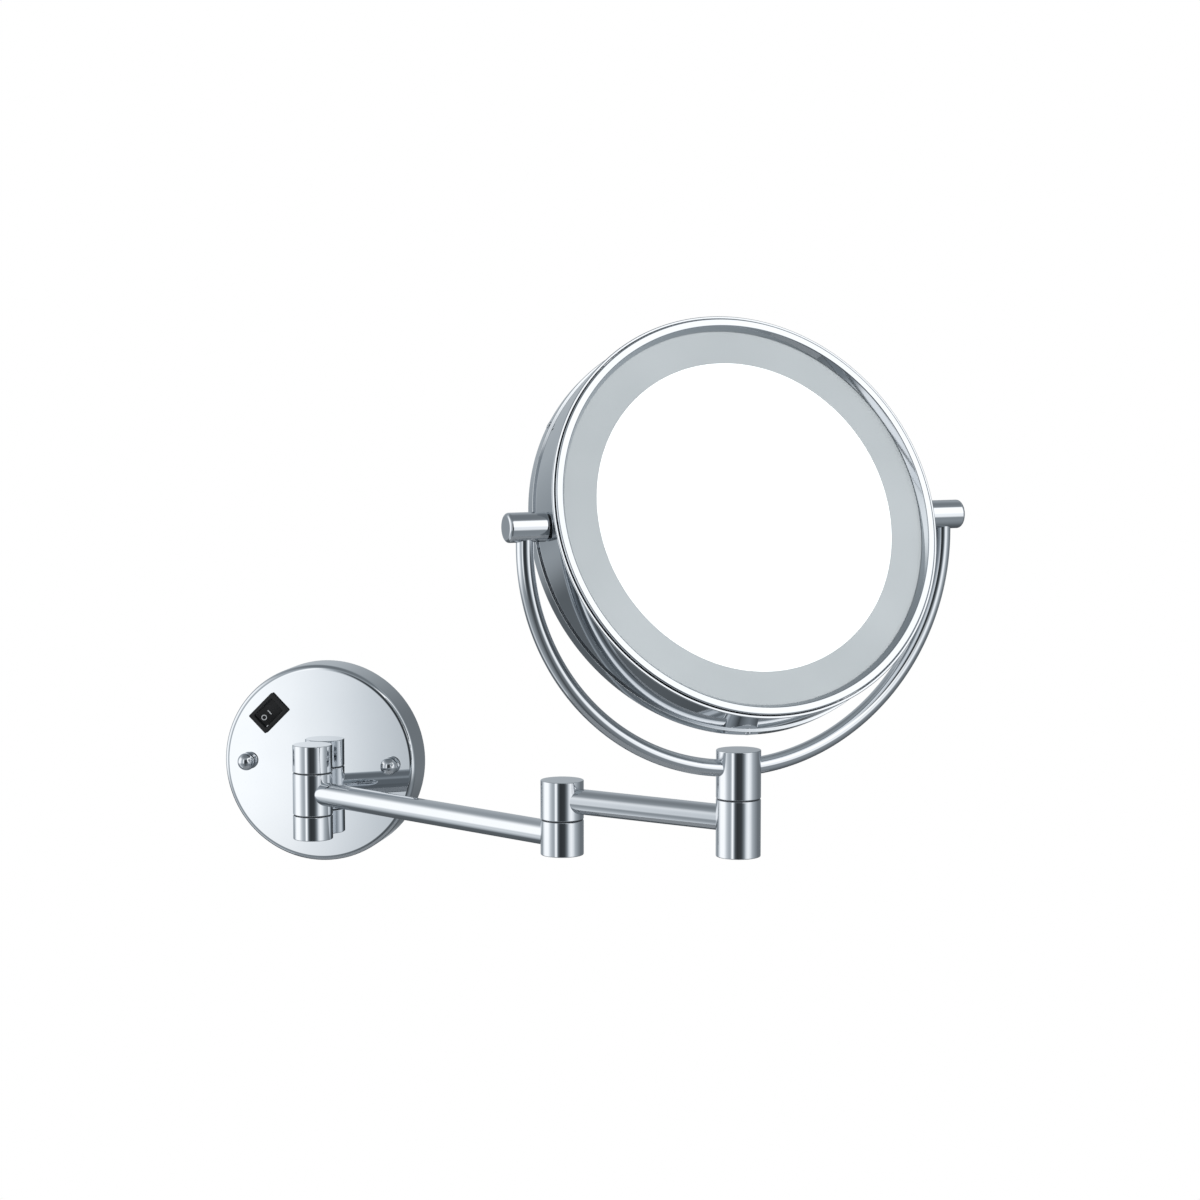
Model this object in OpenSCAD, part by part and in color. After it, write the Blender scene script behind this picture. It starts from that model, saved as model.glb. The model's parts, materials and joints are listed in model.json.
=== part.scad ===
// Wall-mounted swing-arm mirror: a round canopy on the wall, two tubular arms on three stacked
// pivot hubs, a half-ring yoke, and a double-sided mirror head with a ring of lights behind a
// frosted band. Origin: centre of the canopy's back face on the wall. +X runs to the right along
// the wall, -Y points into the room, +Z is up.

/* [Canopy on the wall] */
// Outer diameter of the canopy
canopy_d = 120; // [110:1:145]
// How far the canopy stands off the wall
canopy_depth = 25; // [24:0.5:32]
// Sheet thickness of the canopy
canopy_wall = 1.2; // [0.8:0.1:2]
// Radius of the canopy's front edge
canopy_edge_r = 2.5; // [1.5:0.5:4]
// How far each fixing nut stands in from the canopy's edge
fixing_inset = 15; // [12:0.5:18]
// Distance between the two wall-screw holes in the bracket
wall_screw_spacing = 56; // [44:1:64]
// Diameter of each wall-screw hole
wall_screw_d = 5.2; // [4:0.2:6]

/* [Pivot hubs] */
// Diameter of every hub segment
hub_d = 24; // [22:0.2:30]
// Wall of a hub round its hollow
hub_wall = 2.5; // [2:0.25:3]
// Chamfer on the hub edges
hub_chamfer = 0.6; // [0.3:0.1:1]
// Thickness of a nylon thrust washer between two segments
washer_t = 0.6; // [0.5:0.1:1.2]
// Diameter of the hollow pivot screws
pivot_d = 10; // [8:0.5:11]
// Thickness of the floor or roof that a pivot passes through
deck_t = 4.2; // [3.6:0.1:5]
// Height of the upper fixed segment on the wall
wall_top_h = 16.4; // [14:0.2:20]
// Height of the lower fixed segment on the wall
wall_bottom_h = 14.4; // [12:0.2:18]
// Height of the lower swivel segment under the yoke
swivel_lower_h = 30.8; // [30:0.2:36]
// Height of the upper swivel segment that holds the yoke
swivel_upper_h = 25.8; // [23:0.2:32]

/* [Arms] */
// Axis-to-axis length of the arm next to the wall
wall_arm_l = 210; // [150:1:260]
// Axis-to-axis length of the front arm
front_arm_l = 113; // [80:1:150]
// Outer diameter of both arm tubes
arm_tube_d = 14; // [11:0.2:17]
// Wall of the arm tubes
arm_tube_wall = 1; // [0.8:0.1:1.5]

/* [Yoke] */
// Gap between the case and the yoke tube
yoke_clearance = 6.9; // [5:0.1:12]
// Length of the straight legs between the half ring and the tilt axis
yoke_leg = 10; // [4:0.5:30]
// Diameter of the yoke tube
yoke_tube_d = 9.2; // [7:0.2:11.2]
// Wall of the yoke tube
yoke_tube_wall = 0.9; // [0.7:0.1:1.4]
// Diameter of the two knobs on the tilt axis
knob_d = 15.5; // [14:0.5:18]
// Length of each knob
knob_l = 21.3; // [18:0.1:24]

/* [Mirror head] */
// Outer diameter of the case band
case_d = 220; // [180:1:265]
// Wall of the case band
case_wall = 1.5; // [1:0.1:2]
// Front edge of the case, in front of the tilt axis
case_front = 12.2; // [11:0.2:16]
// Joint between the case and the rear bezel, behind the tilt axis
case_rear = 14; // [12:0.5:16]
// Width of the front bezel's face
bezel_w = 5.2; // [4:0.2:8]
// How far the rear bezel stands behind the case
rear_bezel_h = 8.4; // [8:0.2:12]
// Width of the lit band round the front mirror
light_band_w = 18.5; // [17:0.5:40]
// Thickness of both glasses
glass_t = 3; // [2:0.5:4]
// Depth of the rear mirror's hollow
rear_mirror_sag = 6; // [3:0.5:7]
// Number of lights on the ring
led_count = 48; // [24:4:72]

/* [Switch] */
// Length of the rocker switch's frame
switch_l = 21; // [20:0.5:24]
// Width of the rocker switch's frame
switch_w = 15; // [14:0.5:18]
// Full travel of the rocker
rocker_travel = 14; // [10:1:16]

/* [Stored pose] */
// Direction of the wall arm, clockwise from the wall seen from above
wall_arm_angle = 31.75; // [5:0.25:175]
// Direction of the front arm, clockwise from the wall seen from above
front_arm_angle = 21.4; // [0:0.2:90]
// Direction of the tilt axis, anticlockwise from the wall seen from above
yoke_angle = 34.6; // [-60:0.2:60]
// Upward tilt of the front mirror
head_tilt = 20.8; // [-60:0.2:60]

/* [Hidden] */
$fn = 96;
eps = 0.01;
run_gap = 0.05;     // radial gap of a running fit
face_gap = 0.1;     // gap between faces that slide past each other
wire_gap = 0.3;     // gap between the wires of two bodies, on their pivot axis

hub_r = hub_d / 2;
pivot_r = pivot_d / 2;
arm_tube_r = arm_tube_d / 2;
canopy_r = canopy_d / 2;
case_r = case_d / 2;
fixing_spacing = canopy_d - 2 * fixing_inset;
knob_r = knob_d / 2;
yoke_tube_r = yoke_tube_d / 2;
yoke_r = case_r + yoke_clearance + yoke_tube_r;     // half ring, to the tube's centre

// Canopy and what it holds
hub_standoff = 0.6;
hub_y = -(canopy_depth + hub_standoff + hub_r);
canopy_inner_y = -(canopy_depth - canopy_wall);
bracket_t = 2;
bracket_h = 26;
bracket_l = fixing_spacing + 10;
stud_r = 2.4;
dome_r = 5.3;
dome_centre = 3;    // ball centre in front of the canopy's face
dome_wall = 2;      // ball left in front of the stud's end
boss_r = 6;
spigot_r = 4;
spigot_l = 8;
nut_af = 13;
nut_t = 5;
wire_r = 1;
wire_hole_r = 1.8;
driver_size = [48, 15, 22];
driver_at = [-14, 19];
terminal_size = [24, 11, 12];
terminal_at = [16, -28];
terminal_screw_r = 1.8;
terminal_screw_l = 4.4;
terminal_hole = 5;

// Heights of the stack, worked out from the wall arm's level
wall_arm_z = -15.6;
sleeve_below = arm_tube_r + 6.2;
sleeve_above = arm_tube_r + 5;
sleeve_z0 = wall_arm_z - sleeve_below;
sleeve_z1 = wall_arm_z + sleeve_above;
wall_top_z0 = sleeve_z1 + washer_t;
wall_top_z1 = wall_top_z0 + wall_top_h;
wall_bottom_z1 = sleeve_z0 - washer_t;
wall_bottom_z0 = wall_bottom_z1 - wall_bottom_h;
elbow_below = arm_tube_r + 3.6;
elbow_above = arm_tube_r + 1.8;
elbow_z0 = wall_arm_z - elbow_below;
elbow_z1 = wall_arm_z + elbow_above;
elbow_upper_z0 = elbow_z1 + washer_t;
elbow_upper_h = arm_tube_d + 7.6;
elbow_upper_z1 = elbow_upper_z0 + elbow_upper_h;
front_arm_z = elbow_upper_z0 + arm_tube_r + 3.5;
swivel_above = arm_tube_r + 4;
swivel_z1 = front_arm_z + swivel_above;
swivel_z0 = swivel_z1 - swivel_lower_h;
swivel_upper_z0 = swivel_z1 + washer_t;
swivel_upper_z1 = swivel_upper_z0 + swivel_upper_h;
yoke_z = swivel_upper_z0 + yoke_tube_r + 11.5;
tilt_z = yoke_z + yoke_r + yoke_leg;

// Pivot axes seen from above
elbow_at = [wall_arm_l * cos(wall_arm_angle), hub_y - wall_arm_l * sin(wall_arm_angle), 0];
swivel_at = elbow_at + [front_arm_l * cos(front_arm_angle), -front_arm_l * sin(front_arm_angle), 0];

// Inside of a hub
chamber_r = hub_r - hub_wall;
bush_wall = 1.5;
bush_r = pivot_r + run_gap + bush_wall;
screw_head_r = pivot_r + 2.6;
washer_inset = 0.5;
screw_head_t = 1.6;
screw_bore_r = 2.4;
tube_bite = 0.15;
tube_seat = sqrt(hub_r * hub_r - arm_tube_r * arm_tube_r) - tube_bite;    // where an arm tube's end sits
cap_t = 2;
cap_seat = 0.4;

// Knobs and tilt pivots
tilt_stud_r = 4;
tilt_washer_r = 6.5;
tilt_washer_t = 0.6;
knob_x0 = case_r + tilt_washer_t + face_gap;
knob_x1 = knob_x0 + knob_l;
tilt_nut_t = 4;
tilt_nut_gap = 0.3;
tilt_stud_x0 = case_r - case_wall - tilt_nut_t - 0.5;
tilt_stud_x1 = case_r + 6;
stud_end_gap = 0.6;
leg_seat = 1;       // how far below the tilt axis a leg ends in its knob
knob_edge_r = 2;

// Mirror head, from the tilt axis along the mirror's normal
case_inner_r = case_r - case_wall;
bezel_gap = 0.3;
bezel_r = case_inner_r - bezel_gap;
bezel_front = case_front + 1.5;
bezel_band_t = 3;
bezel_inner_r = bezel_r - bezel_w;
glass_front = bezel_front - 4.3;
glass_back = glass_front - glass_t;
glass_gap = 0.2;
front_mirror_r = bezel_inner_r - light_band_w;
diffuser_r0 = front_mirror_r + glass_gap;
diffuser_r1 = bezel_inner_r;
tray_wall = 1.2;
gasket_t = 0.8;
carrier_t = 2;
pillar_r = 3;
tray_floor = -2;
skirt_z0 = 8;       // the front bezel's skirt clears the tilt nuts
board_t = 1.6;
led_size = [2.8, 3.5, 1.2];
tray_r1 = diffuser_r1 - 2;
connector_size = [8, 6, 3.4];
led_r = (diffuser_r0 + tray_r1) / 2;
board_w = 13;
plate_t = 1.8;
plate_z = -9.4;
rear_face = -(case_rear + rear_bezel_h);
rear_bezel_r = case_r + 1;
rear_ring_t = 1.8;
rear_ring_w = 8;
rear_glass_r = case_r - 6;
rear_glass_edge = rear_face + rear_ring_t + 0.2;
screw_count = 3;
screw_first = 147;
case_screw_r = 1.6;
case_screw_drop = 3;        // screws behind the case's rear edge
case_screw_grip = 2;
case_screw_rim = 0.4;
case_screw_head_t = 0.5;
pry_slot_size = [4, 3.2, 1];    // slot for the tool that frees the bezel
pry_slot_rise = 5.5;
pry_slot_turn = 3;

// Rocker switch, in its own frame with +Z out of the canopy's face
switch_place = [-31, 30] / 60;      // as shares of the canopy's radius
switch_at = canopy_r * switch_place;
switch_turn = 45;
switch_flange_t = 2;
switch_body_l = 19;
switch_body_w = 13;
switch_body_h = 14;
rocker_l = 14;
rocker_w = 9.7;
rocker_slot_l = rocker_l + 1.5;
rocker_slot_w = rocker_w + 0.5;
rocker_slot_h = 11;
rocker_pivot_h = -3;      // pivot axis below the canopy's face
rocker_top = 4.6;         // ends of the rocker above its pivot
rocker_dip = 0.8;
rocker_bottom = -4;
rocker_foot_l = 11;
rocker_pin_r = 1;
rocker_pin_l = 12.2;
blade_size = [0.8, 6.3, 6.6];
blade_spacing = 10;

// ---------------------------------------------------------------- frames and shared shapes

// Axis of the wall hub
module at_wall() {
    translate([0, hub_y, 0]) children();
}

// Wall hub's axis with +X along the wall arm
module along_wall_arm() {
    at_wall() rotate([0, 0, -wall_arm_angle]) children();
}

// Elbow's axis with +X along the front arm
module along_front_arm() {
    translate(elbow_at) rotate([0, 0, -front_arm_angle]) children();
}

// Yoke swivel's axis with +X along the tilt axis
module in_yoke() {
    translate(swivel_at) rotate([0, 0, yoke_angle]) children();
}

// Centre of the head with +X along the tilt axis and +Z out of the front mirror
module in_head() {
    translate(swivel_at + [0, 0, tilt_z])
        rotate([0, 0, yoke_angle]) rotate([90 - head_tilt, 0, 0]) children();
}

// Middle of the switch on the canopy's face, +X along its length and +Z into the room
module in_switch() {
    translate([switch_at[0], -canopy_depth, switch_at[1]])
        rotate([0, -switch_turn, 0]) rotate([90, 0, 0]) children();
}

// Point on the canopy's face with +Z into the room
module on_face(x, z, y) {
    translate([x, y, z]) rotate([90, 0, 0]) children();
}

// Solid of revolution between two heights with chamfered edges
module turned(r, z0, z1, c) {
    rotate_extrude()
        polygon([[0, z0], [r - c, z0], [r, z0 + c], [r, z1 - c], [r - c, z1], [0, z1]]);
}

module bore(r, z0, z1) {
    translate([0, 0, z0]) cylinder(r = r, h = z1 - z0);
}

module ring(r0, r1, z0, z1) {
    translate([0, 0, z0])
        difference() {
            cylinder(r = r1, h = z1 - z0);
            translate([0, 0, -eps]) cylinder(r = r0, h = z1 - z0 + 2 * eps);
        }
}

// Rod along +X
module rod_x(r, x0, x1) {
    translate([x0, 0, 0]) rotate([0, 90, 0]) cylinder(r = r, h = x1 - x0);
}

// Insulated wire through a list of points
module wire(points, r = wire_r) {
    for (i = [0 : len(points) - 2]) {
        a = points[i];
        d = points[i + 1] - a;
        flat = norm([d[0], d[1]]);
        translate(a)
            rotate([0, atan2(flat, d[2]), atan2(d[1], d[0])])
                cylinder(r = r, h = norm(d), $fn = 24);
        if (i > 0) translate(a) sphere(r = r, $fn = 24);
    }
}

// Seat for an arm tube in a hub's wall, and the way through it for the wire
module tube_seat_cut(z) {
    translate([0, 0, z]) {
        rod_x(arm_tube_r, tube_seat, hub_r + 1);
        rod_x(arm_tube_r - arm_tube_wall - 1, 0, tube_seat + eps);
    }
}

// Hollow shoulder screw: head below the roof of the lower segment, thread in the upper floor
module pivot_screw(z_joint) {
    difference() {
        union() {
            bore(pivot_r, z_joint - deck_t - face_gap - screw_head_t, z_joint + washer_t + deck_t);
            bore(screw_head_r, z_joint - deck_t - face_gap - screw_head_t, z_joint - deck_t - face_gap);
        }
        bore(screw_bore_r, z_joint - 2 * deck_t - screw_head_t, z_joint + 2 * deck_t + washer_t);
    }
}

// Bush pressed into a lower segment's roof
module roof_bush(z_joint) {
    ring(pivot_r + run_gap, bush_r, z_joint - deck_t, z_joint);
}

// Nylon washer between two segments, fixed to the lower one
module thrust_washer(z_joint) {
    ring(pivot_r + run_gap, hub_r - washer_inset, z_joint, z_joint + washer_t - face_gap);
}

// Lower segment of a joint: open below for its cap, roof above with the bush's hole
module lower_segment(z0, z1, tube_z, tube_side) {
    difference() {
        turned(hub_r, z0, z1, hub_chamfer);
        bore(chamber_r, z0 - eps, z1 - deck_t);
        bore(bush_r, z1 - deck_t - 1, z1 + 1);
        rotate([0, 0, tube_side]) tube_seat_cut(tube_z);
    }
}

// Upper segment of a joint: floor with the screw's thread, closed top
module upper_segment(z0, z1) {
    difference() {
        turned(hub_r, z0, z1, hub_chamfer);
        bore(pivot_r, z0 - 1, z0 + deck_t + eps);
        bore(chamber_r, z0 + deck_t, z1 - deck_t);
        children();
    }
}

// Plug in the open bottom of a lower segment
module bottom_cap(z0) {
    turned(chamber_r, z0 + cap_seat, z0 + cap_seat + cap_t, 0.2);
}

module arm_tube(length, z) {
    translate([0, 0, z])
        difference() {
            rod_x(arm_tube_r, tube_seat, length - tube_seat);
            rod_x(arm_tube_r - arm_tube_wall, tube_seat - 1, length - tube_seat + 1);
        }
}

// ---------------------------------------------------------------- canopy on the wall

module canopy_profile(r, h, e) {
    union() {
        square([r, h - e]);
        square([r - e, h]);
        translate([r - e, h - e]) circle(r = e);
    }
}

module canopy() {
    color("lightsteelblue")
        rotate([90, 0, 0])
            difference() {
                rotate_extrude() canopy_profile(canopy_r, canopy_depth, canopy_edge_r);
                translate([0, 0, -eps])
                    rotate_extrude()
                        canopy_profile(canopy_r - canopy_wall, canopy_depth - canopy_wall + eps,
                                       canopy_edge_r - canopy_wall);
                for (x = [-1, 1] * fixing_spacing / 2)
                    translate([x, 0, 0]) bore(stud_r + 0.2, 1, canopy_depth + 1);
                for (z = [wall_top_z0 + wall_top_h / 2, wall_bottom_z0 + wall_bottom_h / 2])
                    translate([0, z, 0]) bore(spigot_r + 0.1, 1, canopy_depth + 1);
                translate([switch_at[0], switch_at[1], canopy_depth])
                    rotate([0, 0, switch_turn])
                        cube([switch_body_l + 0.2, switch_body_w + 0.2, canopy_depth], center = true);
            }
}

module wall_bracket() {
    color("silver")
        rotate([90, 0, 0])
            difference() {
                union() {
                    translate([-bracket_l / 2 + bracket_h / 4, -bracket_h / 2, 0])
                        cube([bracket_l - bracket_h / 2, bracket_h, bracket_t]);
                    translate([-bracket_l / 2, -bracket_h / 4, 0])
                        cube([bracket_l, bracket_h / 2, bracket_t]);
                    for (x = [-1, 1], y = [-1, 1])
                        translate([x * (bracket_l / 2 - bracket_h / 4), y * bracket_h / 4, 0])
                            cylinder(r = bracket_h / 4, h = bracket_t);
                }
                for (x = [-1, 1] * wall_screw_spacing / 2)
                    translate([x, 0, 0]) bore(wall_screw_d / 2, -1, bracket_t + 1);
                for (x = [-1, 1] * fixing_spacing / 2)
                    translate([x, 0, 0]) bore(stud_r, -1, bracket_t + 1);
            }
}

module fixing_studs() {
    color("silver")
        for (x = [-1, 1] * fixing_spacing / 2)
            on_face(x, 0, 0) bore(stud_r, 0, canopy_depth + dome_centre + dome_r - dome_wall);
}

module fixing_nuts() {
    color("lightsteelblue")
        for (x = [-1, 1] * fixing_spacing / 2)
            on_face(x, 0, -canopy_depth)
                difference() {
                    intersection() {
                        bore(dome_r + 1, 0, dome_centre + dome_r + 1);
                        translate([0, 0, dome_centre]) sphere(r = dome_r);
                    }
                    bore(stud_r, -1, dome_centre + dome_r - dome_wall);
                }
}

module hub_nuts() {
    color("silver")
        for (z = [wall_top_z0 + wall_top_h / 2, wall_bottom_z0 + wall_bottom_h / 2])
            on_face(0, z, canopy_inner_y)
                translate([0, 0, -nut_t])
                    difference() {
                        cylinder(d = nut_af / cos(30), h = nut_t, $fn = 6);
                        bore(spigot_r, -1, nut_t + 1);
                    }
}

module led_driver() {
    color("whitesmoke")
        translate([driver_at[0], canopy_inner_y, driver_at[1]]) cube(driver_size);
}

module terminal_block() {
    color("ivory")
        translate([terminal_at[0], canopy_inner_y, terminal_at[1]])
            difference() {
                cube(terminal_size);
                for (i = [1, 3])
                    translate([i * terminal_size[0] / 4, terminal_size[1] - terminal_hole,
                               terminal_size[2] / 2])
                        rotate([-90, 0, 0])
                            cylinder(r = terminal_screw_r, h = terminal_hole + 1);
            }
}

module terminal_screws() {
    color("gold")
        for (i = [1, 3])
            translate([terminal_at[0] + i * terminal_size[0] / 4,
                       canopy_inner_y + terminal_size[1] - terminal_hole,
                       terminal_at[1] + terminal_size[2] / 2])
                rotate([-90, 0, 0]) cylinder(r = terminal_screw_r, h = terminal_screw_l);
}

// Leads between terminal block, switch and driver, and from the driver into the hub
module canopy_wires() {
    lead_y = canopy_inner_y + 7;
    back_y = canopy_inner_y + spigot_l + 6;
    tail_y = -2.9;
    low_y = -5;
    hub_wire_z = wall_top_z0 + wall_top_h / 2;
    driver_x1 = driver_at[0] + driver_size[0];
    terminal_z1 = terminal_at[1] + terminal_size[2];
    blade = blade_spacing / 2 * [cos(switch_turn), sin(switch_turn)];
    blade_a = switch_at + blade;
    blade_b = switch_at - blade;
    color("firebrick") {
        wire([[driver_x1 - 8, lead_y, driver_at[1]], [driver_x1 - 8, lead_y, terminal_z1]]);
        wire([[blade_a[0], tail_y, blade_a[1]], [driver_at[0] - 3, tail_y, blade_a[1]],
              [driver_at[0] - 3, lead_y, blade_a[1]], [driver_at[0], lead_y, blade_a[1]]]);
        wire([[blade_b[0], tail_y, blade_b[1]], [blade_b[0], low_y, blade_b[1] - 6],
              [blade_b[0], low_y, terminal_z1], [terminal_at[0] - 6, low_y, terminal_z1],
              [terminal_at[0] - 6, lead_y, terminal_z1 - 6], [terminal_at[0], lead_y, terminal_z1 - 6]]);
        wire([[0, back_y, driver_at[1]], [0, back_y, hub_wire_z], [0, hub_y, hub_wire_z],
              [0, hub_y, wall_top_z0 - washer_t - deck_t - 2]]);
    }
}

// Fixed hub segment with the boss that carries it on the canopy
module hub_boss(z, wire_r0) {
    difference() {
        union() {
            children();
            on_face(0, z, 0) {
                bore(boss_r, canopy_depth, -hub_y);
                bore(spigot_r, canopy_depth - canopy_wall - spigot_l, canopy_depth + 1);
            }
        }
        on_face(0, z, 0) bore(wire_r0, 0, -hub_y);
    }
}

module wall_hub_top() {
    color("lightsteelblue")
        difference() {
            hub_boss(wall_top_z0 + wall_top_h / 2, wire_hole_r)
                at_wall() turned(hub_r, wall_top_z0, wall_top_z1, hub_chamfer);
            at_wall() {
                bore(pivot_r, wall_top_z0 - 1, wall_top_z0 + deck_t + eps);
                bore(pivot_r, wall_top_z0 + deck_t, wall_top_z1 - deck_t);
            }
        }
}

module wall_hub_bottom() {
    color("lightsteelblue")
        hub_boss(wall_bottom_z0 + wall_bottom_h / 2, wire_hole_r)
            at_wall() {
                turned(hub_r, wall_bottom_z0, wall_bottom_z1, hub_chamfer);
                bore(pivot_r, wall_bottom_z1 - 1, sleeve_z0 + deck_t - face_gap);
            }
}

module wall_pivot_screw() {
    color("silver") at_wall() pivot_screw(sleeve_z1);
}

// ---------------------------------------------------------------- rocker switch

module switch_housing() {
    color("dimgray")
        in_switch()
            difference() {
                union() {
                    translate([-switch_l / 2, -switch_w / 2, 0])
                        cube([switch_l, switch_w, switch_flange_t]);
                    translate([-switch_body_l / 2, -switch_body_w / 2, -switch_body_h])
                        cube([switch_body_l, switch_body_w, switch_body_h + eps]);
                }
                translate([-rocker_slot_l / 2, -rocker_slot_w / 2, switch_flange_t - rocker_slot_h])
                    cube([rocker_slot_l, rocker_slot_w, rocker_slot_h + 1]);
                translate([0, 0, rocker_pivot_h])
                    rotate([90, 0, 0]) cylinder(r = rocker_pin_r, h = rocker_pin_l, center = true);
            }
}

module rocker_pin() {
    color("silver")
        in_switch()
            translate([0, 0, rocker_pivot_h])
                rotate([90, 0, 0]) cylinder(r = rocker_pin_r, h = rocker_pin_l, center = true);
}

// The rocker lies pressed at its +X end
module rocker_paddle() {
    color("black")
        in_switch()
            translate([0, 0, rocker_pivot_h])
                rotate([0, rocker_travel / 2, 0])
                    difference() {
                        rotate([90, 0, 0])
                            translate([0, 0, -rocker_w / 2])
                                linear_extrude(rocker_w)
                                    polygon([[-rocker_foot_l / 2, rocker_bottom],
                                             [rocker_foot_l / 2, rocker_bottom],
                                             [rocker_l / 2, rocker_top],
                                             [0, rocker_top - rocker_dip],
                                             [-rocker_l / 2, rocker_top]]);
                        translate([0, rocker_w, 0])
                            rotate([90, 0, 0]) cylinder(r = rocker_pin_r + run_gap, h = 2 * rocker_w);
                    }
}

module switch_terminals() {
    color("gold")
        in_switch()
            for (x = [-1, 1] * blade_spacing / 2)
                translate([x, 0, -switch_body_h - blade_size[2] / 2]) cube(blade_size, center = true);
}

// ---------------------------------------------------------------- wall arm

module wall_sleeve() {
    color("lightsteelblue")
        along_wall_arm()
            lower_segment(sleeve_z0, sleeve_z1, wall_arm_z, 0);
}

module wall_upper_bush() {
    color("white") at_wall() roof_bush(sleeve_z1);
}

module wall_floor_bush() {
    color("white") at_wall() ring(pivot_r + run_gap, chamber_r, sleeve_z0, sleeve_z0 + deck_t);
}

module wall_thrust_washers() {
    color("gray")
        at_wall() {
            thrust_washer(sleeve_z1);
            ring(pivot_r + run_gap, hub_r - washer_inset, wall_bottom_z1 + face_gap, sleeve_z0);
        }
}

module wall_arm_tube() {
    color("lightsteelblue") along_wall_arm() arm_tube(wall_arm_l, wall_arm_z);
}

module wall_arm_wire() {
    start_z = sleeve_z1 - deck_t - 2 * screw_head_t - wire_gap;
    end_z = elbow_z1 - deck_t - screw_head_t - 1;
    color("firebrick")
        along_wall_arm()
            wire([[0, 0, start_z], [0, 0, wall_arm_z], [wall_arm_l, 0, wall_arm_z],
                  [wall_arm_l, 0, end_z]]);
}

module elbow_lower() {
    color("lightsteelblue")
        translate(elbow_at)
            rotate([0, 0, -wall_arm_angle]) lower_segment(elbow_z0, elbow_z1, wall_arm_z, 180);
}

module elbow_lower_cap() {
    color("lightsteelblue") translate(elbow_at) bottom_cap(elbow_z0);
}

module elbow_bush() {
    color("white") translate(elbow_at) roof_bush(elbow_z1);
}

module elbow_thrust_washer() {
    color("gray") translate(elbow_at) thrust_washer(elbow_z1);
}

// ---------------------------------------------------------------- front arm

module elbow_upper() {
    color("lightsteelblue")
        along_front_arm()
            upper_segment(elbow_upper_z0, elbow_upper_z1) tube_seat_cut(front_arm_z);
}

module elbow_pivot_screw() {
    color("silver") translate(elbow_at) pivot_screw(elbow_z1);
}

module front_arm_tube() {
    color("lightsteelblue") along_front_arm() arm_tube(front_arm_l, front_arm_z);
}

module swivel_lower() {
    color("lightsteelblue")
        translate(swivel_at)
            rotate([0, 0, -front_arm_angle]) lower_segment(swivel_z0, swivel_z1, front_arm_z, 180);
}

module swivel_lower_cap() {
    color("lightsteelblue") translate(swivel_at) bottom_cap(swivel_z0);
}

module swivel_bush() {
    color("white") translate(swivel_at) roof_bush(swivel_z1);
}

module swivel_thrust_washer() {
    color("gray") translate(swivel_at) thrust_washer(swivel_z1);
}

module front_arm_wire() {
    start_z = elbow_z1 - deck_t - screw_head_t - 1 + wire_gap;
    end_z = swivel_z1 - deck_t - screw_head_t - 1;
    color("firebrick")
        along_front_arm()
            wire([[0, 0, start_z], [0, 0, front_arm_z], [front_arm_l, 0, front_arm_z],
                  [front_arm_l, 0, end_z]]);
}

// ---------------------------------------------------------------- yoke

module swivel_upper() {
    color("lightsteelblue")
        in_yoke()
            upper_segment(swivel_upper_z0, swivel_upper_z1)
                translate([0, 0, yoke_z]) yoke_ring() circle(r = yoke_tube_r);
}

module swivel_pivot_screw() {
    color("silver") in_yoke() pivot_screw(swivel_z1);
}

// Lower half of a ring with the given section, touching the origin at its lowest point
module yoke_ring() {
    translate([0, 0, yoke_r])
        rotate([90, 0, 0]) rotate([0, 0, 180])
            rotate_extrude(angle = 180) translate([yoke_r, 0]) children();
}

module yoke_tube() {
    color("lightsteelblue")
        in_yoke()
            translate([0, 0, yoke_z])
                difference() {
                    union() {
                        yoke_ring() tube_section();
                        for (x = [-1, 1] * yoke_r)
                            translate([x, 0, yoke_r]) linear_extrude(yoke_leg - leg_seat) tube_section();
                    }
                    bore(screw_bore_r, -yoke_tube_r - 1, 0);
                }
}

module tube_section() {
    difference() {
        circle(r = yoke_tube_r);
        circle(r = yoke_tube_r - yoke_tube_wall);
    }
}

// Knob on the tilt axis: bored for the stud from inside, and from below for the yoke tube
module pivot_knob(side) {
    in_yoke()
        translate([0, 0, tilt_z])
            rotate([0, 90 * side, 0])
                difference() {
                    rotate_extrude()
                        union() {
                            translate([0, knob_x0]) square([knob_r, knob_l - knob_edge_r]);
                            translate([0, knob_x0]) square([knob_r - knob_edge_r, knob_l]);
                            translate([knob_r - knob_edge_r, knob_x1 - knob_edge_r])
                                circle(r = knob_edge_r);
                        }
                    bore(tilt_stud_r + run_gap, knob_x0 - 1, tilt_stud_x1 + stud_end_gap);
                    bore(wire_hole_r, knob_x0, yoke_r);
                    translate([0, 0, yoke_r])
                        rotate([0, 90 * side, 0]) {
                            bore(yoke_tube_r, leg_seat, knob_r + 1);
                            bore(yoke_tube_r - yoke_tube_wall, -wire_hole_r, 2 * leg_seat);
                        }
                }
}

module pivot_knob_left() {
    color("lightsteelblue") pivot_knob(-1);
}

module pivot_knob_right() {
    color("lightsteelblue") pivot_knob(1);
}

// Wire from the swivel round the left half of the yoke to the left knob
module yoke_wire() {
    start_z = swivel_z1 - deck_t - screw_head_t - 1 + wire_gap;
    arc = [for (a = [0 : 9 : 90]) [-yoke_r * sin(a), 0, yoke_z + yoke_r - yoke_r * cos(a)]];
    color("firebrick")
        in_yoke()
            wire(concat([[0, 0, start_z]], arc, [[-yoke_r, 0, tilt_z], [-tilt_stud_x1 - 2, 0, tilt_z]]));
}

// ---------------------------------------------------------------- mirror head

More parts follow.
